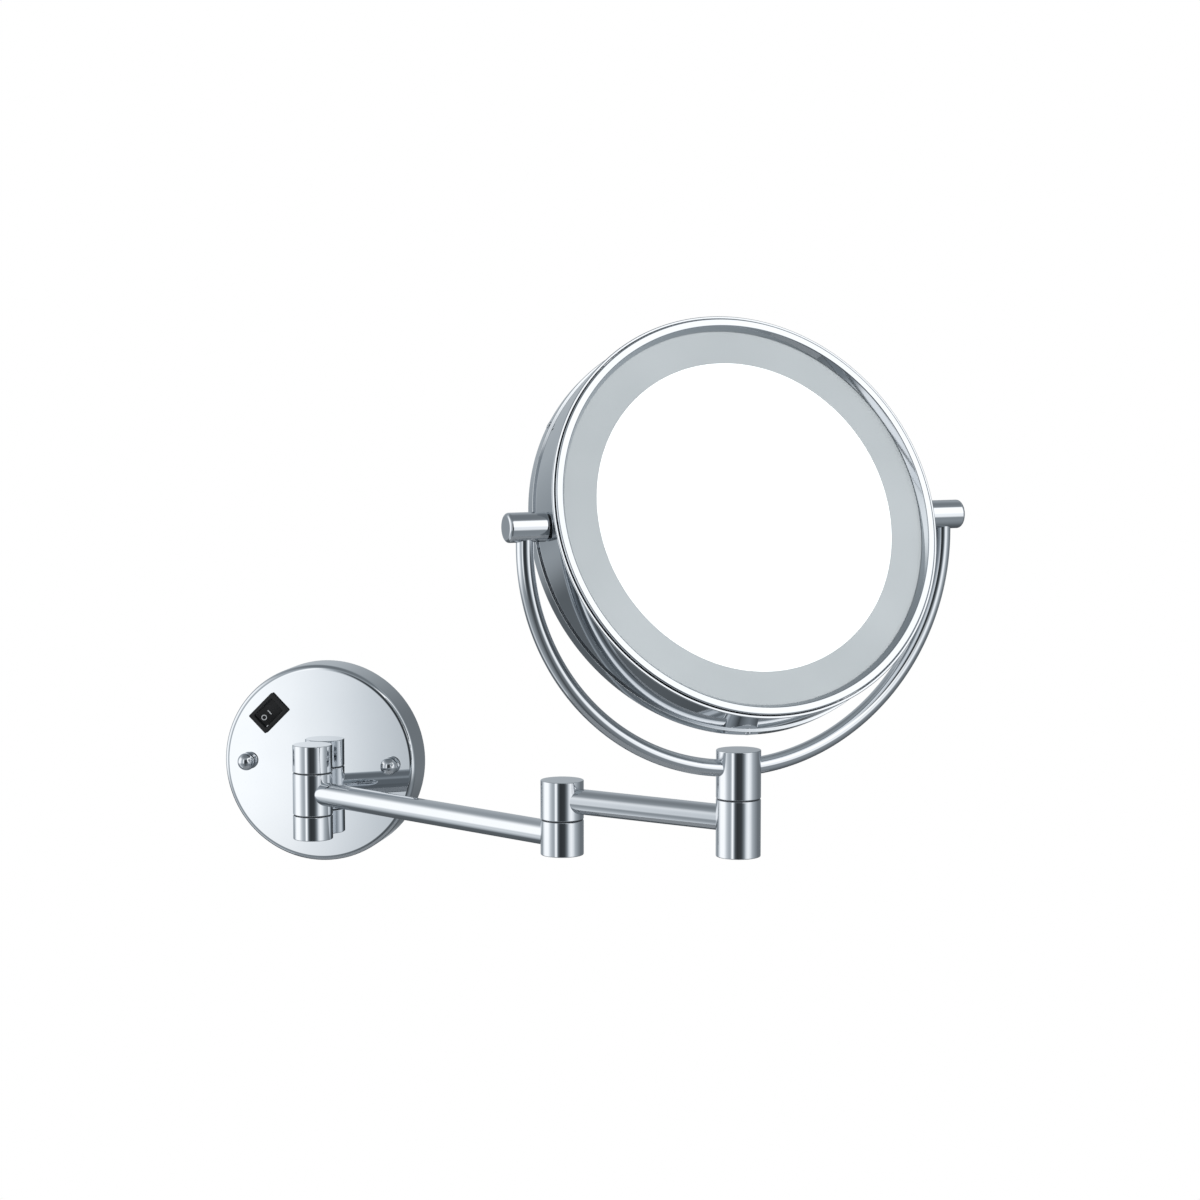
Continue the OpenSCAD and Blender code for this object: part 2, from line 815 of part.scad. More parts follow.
module head_case() {
    lip = case_wall / 2;
    color("lightsteelblue")
        in_head()
            difference() {
                rotate_extrude()
                    union() {
                        translate([case_inner_r, -case_rear])
                            square([case_wall, case_front + case_rear - lip]);
                        translate([case_inner_r + lip, case_front - lip]) circle(r = lip);
                    }
                for (side = [-1, 1])
                    rotate([0, 90 * side, 0]) bore(tilt_stud_r, case_inner_r - 4, case_r + 1);
                rotate([0, 0, screw_first + pry_slot_turn])
                    translate([case_inner_r - 1, -pry_slot_size[1] / 2, pry_slot_rise - case_rear])
                        cube(pry_slot_size);
            }
}

module front_bezel() {
    edge = bezel_band_t / 2;
    color("lightsteelblue")
        in_head()
            rotate_extrude()
                union() {
                    translate([bezel_inner_r + edge, bezel_front - bezel_band_t])
                        square([bezel_w - 2 * edge, bezel_band_t]);
                    for (r = [bezel_inner_r + edge, bezel_r - edge])
                        translate([r, bezel_front - edge]) circle(r = edge);
                    translate([bezel_inner_r, glass_front + glass_gap])
                        square([tray_wall, bezel_front - edge - glass_front - glass_gap]);
                    translate([bezel_r - tray_wall, skirt_z0])
                        square([tray_wall, bezel_front - edge - skirt_z0]);
                }
}

module rear_bezel() {
    edge = rear_ring_t / 2;
    wall = rear_bezel_r - case_inner_r;
    color("lightsteelblue")
        in_head()
            difference() {
                rotate_extrude()
                    union() {
                        translate([rear_bezel_r - rear_ring_w + edge, rear_face])
                            square([rear_ring_w - 2 * edge, rear_ring_t]);
                        for (r = [rear_bezel_r - rear_ring_w + edge, rear_bezel_r - edge])
                            translate([r, rear_face + edge]) circle(r = edge);
                        translate([case_inner_r, rear_face + edge])
                            square([wall, rear_bezel_h - edge]);
                        translate([bezel_r - tray_wall, plate_z - 6])
                            square([tray_wall + case_inner_r - bezel_r, 6]);
                    }
                case_screw_holes(case_screw_r);
            }
}

module case_screw_holes(r) {
    for (i = [0 : screw_count - 1])
        rotate([0, 0, screw_first + i * 360 / screw_count])
            translate([0, 0, -case_rear - case_screw_drop]) rod_x(r, case_inner_r - 3, rear_bezel_r + 1);
}

// Radial screws that hold the rear bezel on the case
module case_screws() {
    color("silver")
        in_head()
            for (i = [0 : screw_count - 1])
                rotate([0, 0, screw_first + i * 360 / screw_count])
                    translate([0, 0, -case_rear - case_screw_drop]) {
                        rod_x(case_screw_r, case_inner_r - case_screw_grip, rear_bezel_r);
                        rod_x(case_screw_r + case_screw_rim, rear_bezel_r,
                              rear_bezel_r + case_screw_head_t);
                    }
}

module front_mirror() {
    color("white")
        in_head() bore(front_mirror_r, glass_back, glass_front);
}

module light_diffuser() {
    color("gainsboro")
        in_head() ring(diffuser_r0, diffuser_r1 + tray_wall, glass_back, glass_front);
}

module front_gasket() {
    color("dimgray")
        in_head() ring(diffuser_r1 - 4, diffuser_r1 + tray_wall, glass_back - gasket_t, glass_back);
}

// White channel that holds the light board and spreads its light
module reflector_tray() {
    tray_top = glass_back - gasket_t;
    color("white")
        in_head() {
            difference() {
                bore(tray_r1, tray_floor, tray_top);
                bore(tray_r1 - tray_wall, tray_floor + tray_wall, tray_top + 1);
                bore(diffuser_r0 - tray_wall, tray_floor - 1, tray_top + 1);
            }
            ring(diffuser_r0 - tray_wall, diffuser_r0, tray_floor, tray_top);
            for (a = [30 : 60 : 330])
                rotate([0, 0, a])
                    translate([led_r, 0, 0]) bore(pillar_r, plate_z + plate_t, tray_floor + eps);
        }
}

module led_board() {
    z0 = tray_floor + tray_wall;
    color("palegreen")
        in_head() ring(led_r - board_w / 2, led_r + board_w / 2, z0, z0 + board_t);
}

module leds() {
    color("khaki")
        in_head()
            for (i = [0 : led_count - 1])
                rotate([0, 0, (i + 0.5) * 360 / led_count])
                    translate([led_r - led_size[0] / 2, -led_size[1] / 2, tray_floor + tray_wall + board_t])
                        cube(led_size);
}

// Plug for the lead, under the tray beside the left tilt stud
module led_connector() {
    color("ivory")
        in_head()
            rotate([0, 0, 180])
                translate([led_r, 0, tray_floor - connector_size[2] / 2])
                    cube(connector_size, center = true);
}

module mirror_carrier() {
    z1 = glass_back - glass_gap;
    z0 = z1 - carrier_t;
    color("white")
        in_head() {
            bore(diffuser_r0 - tray_wall - 2 * glass_gap, z0, z1);
            for (a = [45 : 90 : 315])
                rotate([0, 0, a])
                    translate([front_mirror_r / 2, 0, 0]) bore(pillar_r, plate_z + plate_t, z0 + eps);
        }
}

module chassis_plate() {
    color("silver") in_head() bore(bezel_r, plate_z, plate_z + plate_t);
}

// Depth of the rear mirror's hollow face at radius r
function hollow(r) = rear_glass_edge + rear_mirror_sag * (1 - pow(r / rear_glass_r, 2));

module rear_mirror() {
    radii = [for (i = [0 : 12]) rear_glass_r * i / 12];
    back = [for (r = radii) [r, hollow(r)]];
    front = [for (i = [12 : -1 : 0]) [radii[i], hollow(radii[i]) + glass_t]];
    color("white") in_head() rotate_extrude() polygon(concat(back, front));
}

module rear_gasket() {
    color("dimgray")
        in_head()
            ring(rear_glass_r - 3, rear_glass_r + 1, rear_glass_edge + glass_t + 0.5, plate_z - 0.2);
}

// Hollow studs that the head tilts on
module tilt_studs() {
    color("silver")
        in_head()
            for (side = [-1, 1])
                rotate([0, 90 * side, 0])
                    ring(wire_hole_r, tilt_stud_r, tilt_stud_x0, tilt_stud_x1);
}

module tilt_nuts() {
    color("silver")
        in_head()
            for (side = [-1, 1])
                rotate([0, 90 * side, 0])
                    translate([0, 0, case_inner_r - tilt_nut_t - tilt_nut_gap])
                        difference() {
                            cylinder(d = nut_af / cos(30), h = tilt_nut_t, $fn = 6);
                            bore(tilt_stud_r, -1, tilt_nut_t + 1);
                        }
}

module friction_washers() {
    color("gray")
        in_head()
            for (side = [-1, 1])
                rotate([0, 90 * side, 0])
                    ring(tilt_stud_r, tilt_washer_r, case_r, case_r + tilt_washer_t);
}

module head_wire() {
    x1 = -tilt_stud_x1 - 2 + wire_gap;
    x2 = -(tray_r1 + tilt_stud_x0) / 2;
    plug_z = tray_floor - connector_size[2] / 2;
    color("firebrick")
        in_head()
            wire([[x1, 0, 0], [x2, 0, 0], [x2, 0, plug_z], [-led_r - connector_size[0] / 2, 0, plug_z]]);
}

// ---------------------------------------------------------------- the nodes

canopy();
wall_bracket();
fixing_studs();
fixing_nuts();
switch_housing();
switch_terminals();
rocker_paddle();
rocker_pin();
led_driver();
terminal_block();
terminal_screws();
hub_nuts();
wall_hub_top();
wall_hub_bottom();
wall_pivot_screw();
canopy_wires();
wall_sleeve();
wall_upper_bush();
wall_floor_bush();
wall_thrust_washers();
wall_arm_tube();
elbow_lower();
elbow_lower_cap();
elbow_bush();
elbow_thrust_washer();
wall_arm_wire();
elbow_upper();
elbow_pivot_screw();
front_arm_tube();
swivel_lower();
swivel_lower_cap();
swivel_bush();
swivel_thrust_washer();
front_arm_wire();
swivel_upper();
swivel_pivot_screw();
yoke_tube();
pivot_knob_left();
pivot_knob_right();
yoke_wire();
head_case();
front_bezel();
rear_bezel();
front_mirror();
light_diffuser();
reflector_tray();
led_board();
leds();
led_connector();
mirror_carrier();
chassis_plate();
rear_mirror();
front_gasket();
rear_gasket();
case_screws();
tilt_studs();
tilt_nuts();
friction_washers();
head_wire();
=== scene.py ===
# %% [markdown]
# # A wall mirror on a swing arm
# The object is a chrome-plated shaving mirror: a round canopy on the wall, two tubular arms that
# fold on three stacked pivot hubs, a half-ring yoke, and a two-sided mirror head with a band of
# light behind frosted glass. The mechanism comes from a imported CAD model, which is loaded first
# and never moved. Every cell below builds one piece or one finish on top of it, in metres.

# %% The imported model
import json
import math

import bmesh
import bpy
import numpy as np
from mathutils import Matrix, Vector


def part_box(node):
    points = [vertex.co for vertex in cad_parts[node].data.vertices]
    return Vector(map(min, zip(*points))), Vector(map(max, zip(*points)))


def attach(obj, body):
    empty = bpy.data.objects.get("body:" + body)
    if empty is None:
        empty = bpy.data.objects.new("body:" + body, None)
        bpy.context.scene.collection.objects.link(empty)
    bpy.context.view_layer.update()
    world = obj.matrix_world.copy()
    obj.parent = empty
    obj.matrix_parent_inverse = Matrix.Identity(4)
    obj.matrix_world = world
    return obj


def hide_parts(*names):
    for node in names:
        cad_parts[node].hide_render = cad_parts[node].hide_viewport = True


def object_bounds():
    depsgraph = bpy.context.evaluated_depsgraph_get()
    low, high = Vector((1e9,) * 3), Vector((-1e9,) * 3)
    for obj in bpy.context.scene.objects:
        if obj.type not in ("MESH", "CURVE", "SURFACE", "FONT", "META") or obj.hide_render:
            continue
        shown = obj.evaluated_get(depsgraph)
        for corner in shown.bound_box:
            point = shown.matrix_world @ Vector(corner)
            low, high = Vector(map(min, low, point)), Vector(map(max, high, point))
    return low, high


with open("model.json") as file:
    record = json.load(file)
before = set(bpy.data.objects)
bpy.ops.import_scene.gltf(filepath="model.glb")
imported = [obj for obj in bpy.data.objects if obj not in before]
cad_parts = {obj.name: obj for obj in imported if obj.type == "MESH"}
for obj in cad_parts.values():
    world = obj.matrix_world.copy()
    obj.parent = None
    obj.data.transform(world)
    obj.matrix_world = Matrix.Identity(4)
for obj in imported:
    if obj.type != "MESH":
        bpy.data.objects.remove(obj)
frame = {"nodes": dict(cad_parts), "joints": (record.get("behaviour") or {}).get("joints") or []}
cad_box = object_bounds()

# %% [markdown]
# ## The camera
# The camera stands 1.7 m in front of the wall, a little to the right of the head and a little above
# it, with a long lens. A long lens keeps the round head and the round canopy from stretching
# towards the edges of the picture, which is why product pictures are taken with one.

# %% Camera
MM = 0.001
CAMERA_AT = Vector((528.79, -1719.33, 277.06)) * MM
CAMERA_AZIMUTH = math.radians(11.82)
CAMERA_ELEVATION = math.radians(5.74)
LENS_MM = 88.36

scene = bpy.context.scene
camera = bpy.data.objects.new("camera", bpy.data.cameras.new("camera"))
camera.data.sensor_width = 36
camera.data.lens = LENS_MM
camera.location = CAMERA_AT
camera.rotation_euler = (math.pi / 2 - CAMERA_ELEVATION, 0, CAMERA_AZIMUTH)
camera.data.clip_start, camera.data.clip_end = 0.05, 20
scene.collection.objects.link(camera)
scene.camera = camera
scene.view_settings.view_transform = "Standard"
print("camera", [round(x, 3) for x in camera.location], "lens", LENS_MM)

# %% [markdown]
# ## Colours and shader nodes
# Colours are picked as sRGB hex values, as in any paint program, but shaders work in linear light,
# so one function turns the one into the other. A second small function adds a node, sets its
# properties, and fills its inputs: a plain value is set on the socket, an output is linked to it.

# %% Colour and node helpers
def linear(code):
    """Linear RGBA of an sRGB hex colour such as #D8DBDE."""
    channels = [int(code[i:i + 2], 16) / 255 for i in (1, 3, 5)]
    curve = [c / 12.92 if c <= 0.04045 else ((c + 0.055) / 1.055) ** 2.4 for c in channels]
    return (*curve, 1.0)


def add(tree, kind, inputs=None, **settings):
    """Adds a node with its properties, and its inputs as values or as links from other sockets."""
    node = tree.nodes.new(kind)
    for name, value in settings.items():
        setattr(node, name, value)
    for name, value in (inputs or {}).items():
        if isinstance(value, bpy.types.NodeSocket):
            tree.links.new(value, node.inputs[name])
        else:
            node.inputs[name].default_value = value
    return node


def set_ramp(node, stops, smooth=False):
    """Fills a colour ramp with (place from 0 to 1, RGBA) stops."""
    ramp = node.color_ramp
    ramp.interpolation = "EASE" if smooth else "LINEAR"
    while len(ramp.elements) < len(stops):
        ramp.elements.new(1.0)
    for element, (place, colour) in zip(ramp.elements, stops):
        element.position = place
        element.color = colour
    return node


print("mid grey #808080 is", round(linear("#808080")[0], 3), "in linear light")

# %% [markdown]
# ## Studio light
# Chrome has no colour of its own: what the eye reads as chrome is the room in it. The room here is
# a set of soft panels painted on the sky as a function of direction. Round the horizon there is a
# tall white panel on the left, a dark gap behind the camera and a dimmer panel on the right, which
# give upright cylinders their white side, dark middle and grey side. A white panel high on the
# right fills the tilted mirror. The camera itself sees plain white behind the object.

# %% Studio world
MIX_A, MIX_B, MIX_OUT = 6, 7, 2     # the colour sockets of a Mix node
PANEL_LEVEL = 1.42      # light of a white panel, so that it reads white in a chrome surface
# Brightness round the room at eye level, as (degrees from +X towards +Y, level)
LEVEL_ROUND = [(0, 0.38), (17, 0.25), (38, 0.15), (75, 0.15), (105, 0.36), (131, 0.34), (148, 0.24),
               (158, 0.42), (166, 0.68), (178, 0.95), (202, 0.95), (212, 0.72), (218, 0.54),
               (228, 0.4), (238, 0.34), (244, 0.6), (248, 1.0), (251, 0.95), (253, 0.78),
               (255, 0.55), (258, 0.33), (263, 0.09), (273, 0.03), (295, 0.04), (304, 0.12),
               (312, 0.3), (320, 0.66), (331, 0.88), (345, 0.72), (353, 0.5), (360, 0.38)]
# The same round the lower part of the room, which the undersides see
LOW_ROUND = [(0, 0.2), (40, 0.12), (95, 0.06), (130, 0.09), (150, 0.1), (164, 0.11),
             (173, 0.3), (186, 0.6), (196, 0.5), (212, 0.26), (224, 0.28), (245, 0.2),
             (279, 0.06), (292, 0.12), (321, 0.2), (345, 0.24), (360, 0.2)]
OVERHEAD = [(40, 0.32), (62, 0.17), (90, 0.15)]     # (elevation, level)
LOW_BAND = [(-22, 1), (-9, 0)]                      # where the lower levels take over
TOP_BAND = [(24, 0), (46, 1)]                       # where the overhead levels take over
HIGH_PANEL_ROUND = [(298, 0), (309, 1), (350, 1), (359, 0)]
HIGH_PANEL_UP = [(1, 0), (13, 1), (45, 1), (54, 0)]


def cool(level):
    """Grey that turns slightly blue as it darkens, as studio shadows do."""
    shade = 1 - level
    return (level * (1 - 0.12 * shade), level, level * (1 + 0.1 * shade), 1.0)


def grey(level):
    return (level, level, level, 1.0)


world = bpy.data.worlds.new("soft_panels")
world.use_nodes = True
scene.world = world
sky = world.node_tree
sky.nodes.clear()
direction = add(sky, "ShaderNodeSeparateXYZ",
                {"Vector": add(sky, "ShaderNodeTexCoord").outputs["Generated"]})
turn = add(sky, "ShaderNodeMath", {0: direction.outputs["Y"], 1: direction.outputs["X"]},
           operation="ARCTAN2")
turns = add(sky, "ShaderNodeMath", {0: turn.outputs[0], 1: 2 * math.pi}, operation="DIVIDE")
azimuth = add(sky, "ShaderNodeMath", {0: turns.outputs[0]}, operation="FRACT").outputs[0]
height = add(sky, "ShaderNodeMath", {0: direction.outputs["Z"]}, operation="ARCSINE")
elevation = add(sky, "ShaderNodeMath", {0: height.outputs[0], 1: 1 / math.pi, 2: 0.5},
                operation="MULTIPLY_ADD").outputs[0]


def round_stops(stops, colour):
    return [(degrees / 360, colour(level)) for degrees, level in stops]


def up_stops(stops, colour):
    return [(degrees / 180 + 0.5, colour(level)) for degrees, level in stops]


layer = {}
for name, factor, stops, smooth in (
        ("eye level", azimuth, round_stops(LEVEL_ROUND, cool), False),
        ("low", azimuth, round_stops(LOW_ROUND, cool), False),
        ("top", elevation, up_stops(OVERHEAD, cool), False),
        ("low share", elevation, up_stops(LOW_BAND, grey), True),
        ("top share", elevation, up_stops(TOP_BAND, grey), True),
        ("panel round", azimuth, round_stops(HIGH_PANEL_ROUND, grey), True),
        ("panel up", elevation, up_stops(HIGH_PANEL_UP, grey), True)):
    node = add(sky, "ShaderNodeValToRGB", {"Fac": factor})
    layer[name] = set_ramp(node, stops, smooth).outputs[0]
panel = add(sky, "ShaderNodeMath", {0: layer["panel round"], 1: layer["panel up"]},
            operation="MULTIPLY")
room = layer["eye level"]
for share, other in ((layer["low share"], layer["low"]), (layer["top share"], layer["top"]),
                     (panel.outputs[0], grey(1.0))):
    room = add(sky, "ShaderNodeMix", {0: share, MIX_A: room, MIX_B: other},
               data_type="RGBA").outputs[MIX_OUT]
seen = add(sky, "ShaderNodeBackground", {"Color": grey(1.0), "Strength": 1.0})
shining = add(sky, "ShaderNodeBackground", {"Color": room, "Strength": PANEL_LEVEL})
from_camera = add(sky, "ShaderNodeLightPath").outputs["Is Camera Ray"]
chosen = add(sky, "ShaderNodeMixShader", {0: from_camera, 1: shining.outputs[0],
                                          2: seen.outputs[0]})
add(sky, "ShaderNodeOutputWorld", {"Surface": chosen.outputs[0]})
print("studio world:", len(LEVEL_ROUND), "levels at eye height,", len(LOW_ROUND), "below")

# %% [markdown]
# ## Floor
# The mirror hangs on a wall, so its floor is well below it: a plain pale disc, which also throws
# light up into the undersides of the tubes.

# %% Floor
FLOOR_Z = -1.2
FLOOR_RADIUS = 0.85
low, high = cad_box
floor_mesh = bpy.data.meshes.new("floor")
floor_bm = bmesh.new()
bmesh.ops.create_circle(floor_bm, cap_ends=True, segments=96, radius=FLOOR_RADIUS)
bmesh.ops.translate(floor_bm, vec=((low.x + high.x) / 2, (low.y + high.y) / 2, FLOOR_Z),
                    verts=floor_bm.verts)
floor_bm.to_mesh(floor_mesh)
floor_bm.free()
floor = bpy.data.objects.new("floor", floor_mesh)
scene.collection.objects.link(floor)
print("floor", FLOOR_RADIUS, "m round, at", FLOOR_Z)

# %% [markdown]
# ## Finishes
# Each finish is a Principled shader with two procedural parts: a slow noise that varies colour and
# roughness, because no real surface is equally clean or equally polished all over, and a finer
# noise that raises the surface, for moulding texture, polishing marks or plating ripple. Scales are
# in millimetres of the real surface and read Object coordinates, so a pattern stays on its piece.

# %% One finish, with its drift and its grain
def surface(name, light_hex, dark_hex, metallic, roughness, drift_mm, grain_mm, relief_mm,
            **sockets):
    """Material whose colour and roughness drift over drift_mm and whose relief has grain_mm."""
    material = bpy.data.materials.new(name)
    material.use_nodes = True
    tree = material.node_tree
    shader = tree.nodes["Principled BSDF"]
    place = add(tree, "ShaderNodeTexCoord").outputs["Object"]
    drift = add(tree, "ShaderNodeTexNoise", {"Vector": place, "Scale": 1 / (drift_mm * MM),
                                             "Detail": 3.0})
    tint = add(tree, "ShaderNodeMix", {0: drift.outputs["Fac"], MIX_A: linear(dark_hex),
                                       MIX_B: linear(light_hex)}, data_type="RGBA")
    gloss = add(tree, "ShaderNodeMapRange", {"Value": drift.outputs["Fac"], "From Min": 0.3,
                                             "From Max": 0.7, "To Min": roughness[0],
                                             "To Max": roughness[1]})
    grain = add(tree, "ShaderNodeTexNoise", {"Vector": place, "Scale": 1 / (grain_mm * MM),
                                             "Detail": 4.0})
    relief = add(tree, "ShaderNodeBump", {"Height": grain.outputs["Fac"], "Strength": 1.0,
                                          "Distance": relief_mm * MM})
    tree.links.new(tint.outputs[MIX_OUT], shader.inputs["Base Color"])
    tree.links.new(gloss.outputs[0], shader.inputs["Roughness"])
    tree.links.new(relief.outputs[0], shader.inputs["Normal"])
    shader.inputs["Metallic"].default_value = metallic
    for socket, value in sockets.items():
        shader.inputs[socket.replace("_", " ")].default_value = value
    return material


# %% [markdown]
# The bright parts are brass or zinc under nickel and chromium, machine polished. To the eye that is
# a nearly perfect mirror with a cold grey tint: the ripple under the plating is only microns high
# and tens of millimetres long, and softens long reflections a little. The head is pressed sheet,
# polished the same way, with slightly longer ripples.

# %% Bright metals
chrome = surface("chrome_plate_polished", "#DEE1E4", "#D6D9DD", 1.0, (0.012, 0.032),
                 drift_mm=30, grain_mm=24, relief_mm=0.003)
pressed_chrome = surface("chrome_plated_pressed_sheet", "#DDE0E3", "#D4D8DC", 1.0, (0.015, 0.04),
                         drift_mm=45, grain_mm=40, relief_mm=0.005)
# Zinc plating is bright but not polished: a greyer, blurred mirror with fine crystal grain.
zinc = surface("zinc_plated_steel", "#C3C6C8", "#A4A8AB", 1.0, (0.25, 0.42),
               drift_mm=6, grain_mm=0.8, relief_mm=0.01)
# Turned brass screws and blades: yellow metal with fine tool marks.
brass = surface("turned_brass", "#DDBF74", "#B08D46", 1.0, (0.2, 0.35),
                drift_mm=4, grain_mm=0.4, relief_mm=0.008)
print("bright metals:", chrome.name, pressed_chrome.name, zinc.name, brass.name)

# %% [markdown]
# The plastics are injection moulded. The switch is black ABS from a spark-eroded mould, a fine
# matt grain that only shows where light grazes it. Bushes are slippery white acetal, washers grey
# nylon, and the parts inside the head are white polycarbonate.

# %% Plastics and rubber
black_abs = surface("black_abs_moulded", "#232324", "#18191A", 0.0, (0.34, 0.46),
                    drift_mm=5, grain_mm=0.35, relief_mm=0.02)
rocker_abs = surface("black_abs_rocker", "#1C1C1D", "#131314", 0.0, (0.42, 0.52),
                     drift_mm=4, grain_mm=0.35, relief_mm=0.015)
white_moulding = surface("white_polycarbonate", "#DEDFDC", "#D2D3CF", 0.0, (0.35, 0.5),
                         drift_mm=12, grain_mm=0.6, relief_mm=0.015)
nylon = surface("grey_nylon", "#4A4E52", "#3A3D41", 0.0, (0.45, 0.6),
                drift_mm=3, grain_mm=0.4, relief_mm=0.01)
acetal = surface("white_acetal", "#E4E4E0", "#D9D9D4", 0.0, (0.25, 0.35),
                 drift_mm=5, grain_mm=0.5, relief_mm=0.006)
# This black finish also paints the shade in the pry slot's opening on the head.
rubber_and_slot_shade = surface("black_silicone_rubber_and_slot_shade", "#2B2C2E", "#1F2022", 0.0, (0.6, 0.75),
                 drift_mm=4, grain_mm=0.5, relief_mm=0.03)
# Two-core lead insulation: glossy red PVC, slightly wavy where it was drawn.
pvc = surface("red_pvc_insulation", "#A3211C", "#861713", 0.0, (0.3, 0.42),
              drift_mm=6, grain_mm=1.5, relief_mm=0.03)
# The printed marks are a hard white pad-printing ink with a slight tooth.
mark_ink = surface("white_printing_ink", "#F6F7F6", "#EEEFEE", 0.0, (0.45, 0.55),
                   drift_mm=1, grain_mm=0.15, relief_mm=0.004)
# White solder mask over copper: glossy lacquer with the weave of the board faintly under it.
solder_mask = surface("white_solder_mask", "#E8EAE4", "#DADDD5", 0.0, (0.22, 0.3),
                      drift_mm=3, grain_mm=0.5, relief_mm=0.008, Coat_Weight=0.4)
# A light chip is a clear dome over yellow phosphor.
phosphor = surface("phosphor_in_silicone", "#E9D27A", "#DDC25E", 0.0, (0.15, 0.25),
                   drift_mm=1, grain_mm=0.3, relief_mm=0.003, Coat_Weight=0.8)
print("plastics and the rest:", sum(m.name != "" for m in bpy.data.materials), "materials so far")

# %% [markdown]
# ## Glass
# Both mirrors are float glass silvered on the back: a clean cold mirror. The band round the front
# mirror is the same glass with its silver left off and its surface etched, so it scatters light:
# pale grey, soft, with a very fine tooth. The magnifying mirror behind is the same, but hollow.

# %% Glass finishes
silvered = surface("silvered_float_glass", "#F4F7F7", "#F1F5F5", 1.0, (0.004, 0.012),
                   drift_mm=60, grain_mm=80, relief_mm=0.001)
frosted = surface("etched_glass_band", "#DCE2E4", "#D6DCDF", 0.7, (0.46, 0.54),
                  drift_mm=70, grain_mm=0.25, relief_mm=0.004, Coat_Weight=0.1,
                  Coat_Roughness=0.35)
floor.data.materials.append(surface("pale_floor", "#D9DADB", "#D2D3D4", 0.0, (0.7, 0.85),
                                    drift_mm=120, grain_mm=3, relief_mm=0.05))
print("glass:", silvered.name, frosted.name)

# %% [markdown]
# ## Frames from the joints
# Every piece is drawn in the frame where it is simplest: hubs and tubes about the pivot axes, the
# yoke in the plane of its ring, the head along its own normal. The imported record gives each
# joint's place and axis, so the frames follow the CAD and nothing is fitted by eye.

# %% Joint frames
joints = {joint["name"]: joint for joint in frame["joints"]}
UP = Vector((0, 0, 1))


def joint_at(name):
    return Vector(joints[name]["pos_m"])


def joint_axis(name):
    return Vector(joints[name]["axis"]).normalized()


def frame_at(origin, z_axis, x_axis):
    """Matrix that takes a local point to the model's frame."""
    z = Vector(z_axis).normalized()
    x = (Vector(x_axis) - z * z.dot(Vector(x_axis))).normalized()
    y = z.cross(x)
    return Matrix(((x.x, y.x, z.x, origin[0]), (x.y, y.y, z.y, origin[1]),
                   (x.z, y.z, z.z, origin[2]), (0, 0, 0, 1)))


def level_with(point, other):
    """A point at another point's height, so that a direction between them is level."""
    return Vector((point.x, point.y, other.z))


def middle(node):
    lowest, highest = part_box(node)
    return (lowest + highest) / 2


wall_at = joint_at("wall_swivel")
elbow_at = level_with(joint_at("elbow"), wall_at)
swivel_at = level_with(joint_at("yoke_swivel"), wall_at)
tilt_at = joint_at("head_tilt")
tilt_axis = joint_axis("head_tilt")
head_normal = (middle("front_mirror") - tilt_at).normalized()

canopy_frame = frame_at((0, 0, 0), (0, -1, 0), (1, 0, 0))
wall_frame = frame_at((wall_at.x, wall_at.y, 0), UP, elbow_at - wall_at)
elbow_frame = frame_at((elbow_at.x, elbow_at.y, 0), UP, swivel_at - elbow_at)
swivel_frame = frame_at((swivel_at.x, swivel_at.y, 0), UP, tilt_axis)
head_frame = frame_at(tilt_at, head_normal, tilt_axis)
switch_frame = frame_at(joint_at("switch_rock"), (0, -1, 0),
                        joint_axis("switch_rock").cross(Vector((0, -1, 0))))


def local_box(node, placing):
    """Lowest and highest corner of a CAD node, measured in a local frame, in metres."""
    into = np.array(placing.inverted())
    points = np.array([v.co for v in frame["nodes"][node].data.vertices]).reshape(-1, 3)
    points = points @ into[:3, :3].T + into[:3, 3]
    return Vector(points.min(0)), Vector(points.max(0))


print("head leans back", round(math.degrees(math.asin(head_normal.z)), 1), "degrees")

# %% [markdown]
# ## Turning on a lathe
# Nearly every part of this object was turned or spun, so the main tool is a lathe. An outline is a
# list of corners (radius, height, fillet), and each corner becomes a short arc. The normal at
# every outline point is known exactly, and is given to the mesh, which matters on chrome: the
# guessed normals that smooth shading makes would bend the reflections beside every edge.

# %% Lathe
ARC_STEPS = 6           # steps in a quarter turn of a fillet
ROUND = 160             # segments round a part


def outline(*corners):
    """Closed outline, inside on its left, as rows of (radius, height, normal across, normal up)."""
    rows = []
    for i, (r, z, fillet) in enumerate(corners):
        here = Vector((r, z))
        before = (here - Vector(corners[i - 1][:2])).normalized()
        after = (Vector(corners[(i + 1) % len(corners)][:2]) - here).normalized()
        out_before, out_after = Vector((before.y, -before.x)), Vector((after.y, -after.x))
        if fillet == 0:
            normal = out_after if abs(corners[i - 1][0]) < 1e-9 and r < 1e-9 else out_before
            rows.append((r, z, normal.x, normal.y))
            continue
        bend = math.atan2(before.x * after.y - before.y * after.x, before.dot(after))
        side = 1 if bend > 0 else -1            # a left turn is an outer corner
        reach = fillet * math.tan(abs(bend) / 2)
        centre = here - before * reach - out_before * fillet * side
        steps = max(2, round(abs(bend) / (math.pi / 2) * ARC_STEPS))
        first = math.atan2(out_before.y, out_before.x)
        for k in range(steps + 1):
            facing = first + bend * k / steps
            nr, nz = math.cos(facing), math.sin(facing)
            rows.append((centre.x + nr * fillet * side, centre.y + nz * fillet * side, nr, nz))
    return rows


def arc_rows(radius, height, size, start, end, steps=24):
    """Rows of a bulging arc about (radius, height), from one angle to another in degrees."""
    angles = [math.radians(start + (end - start) * k / steps) for k in range(steps + 1)]
    return [(radius + size * math.cos(a), height + size * math.sin(a), math.cos(a), math.sin(a))
            for a in angles]


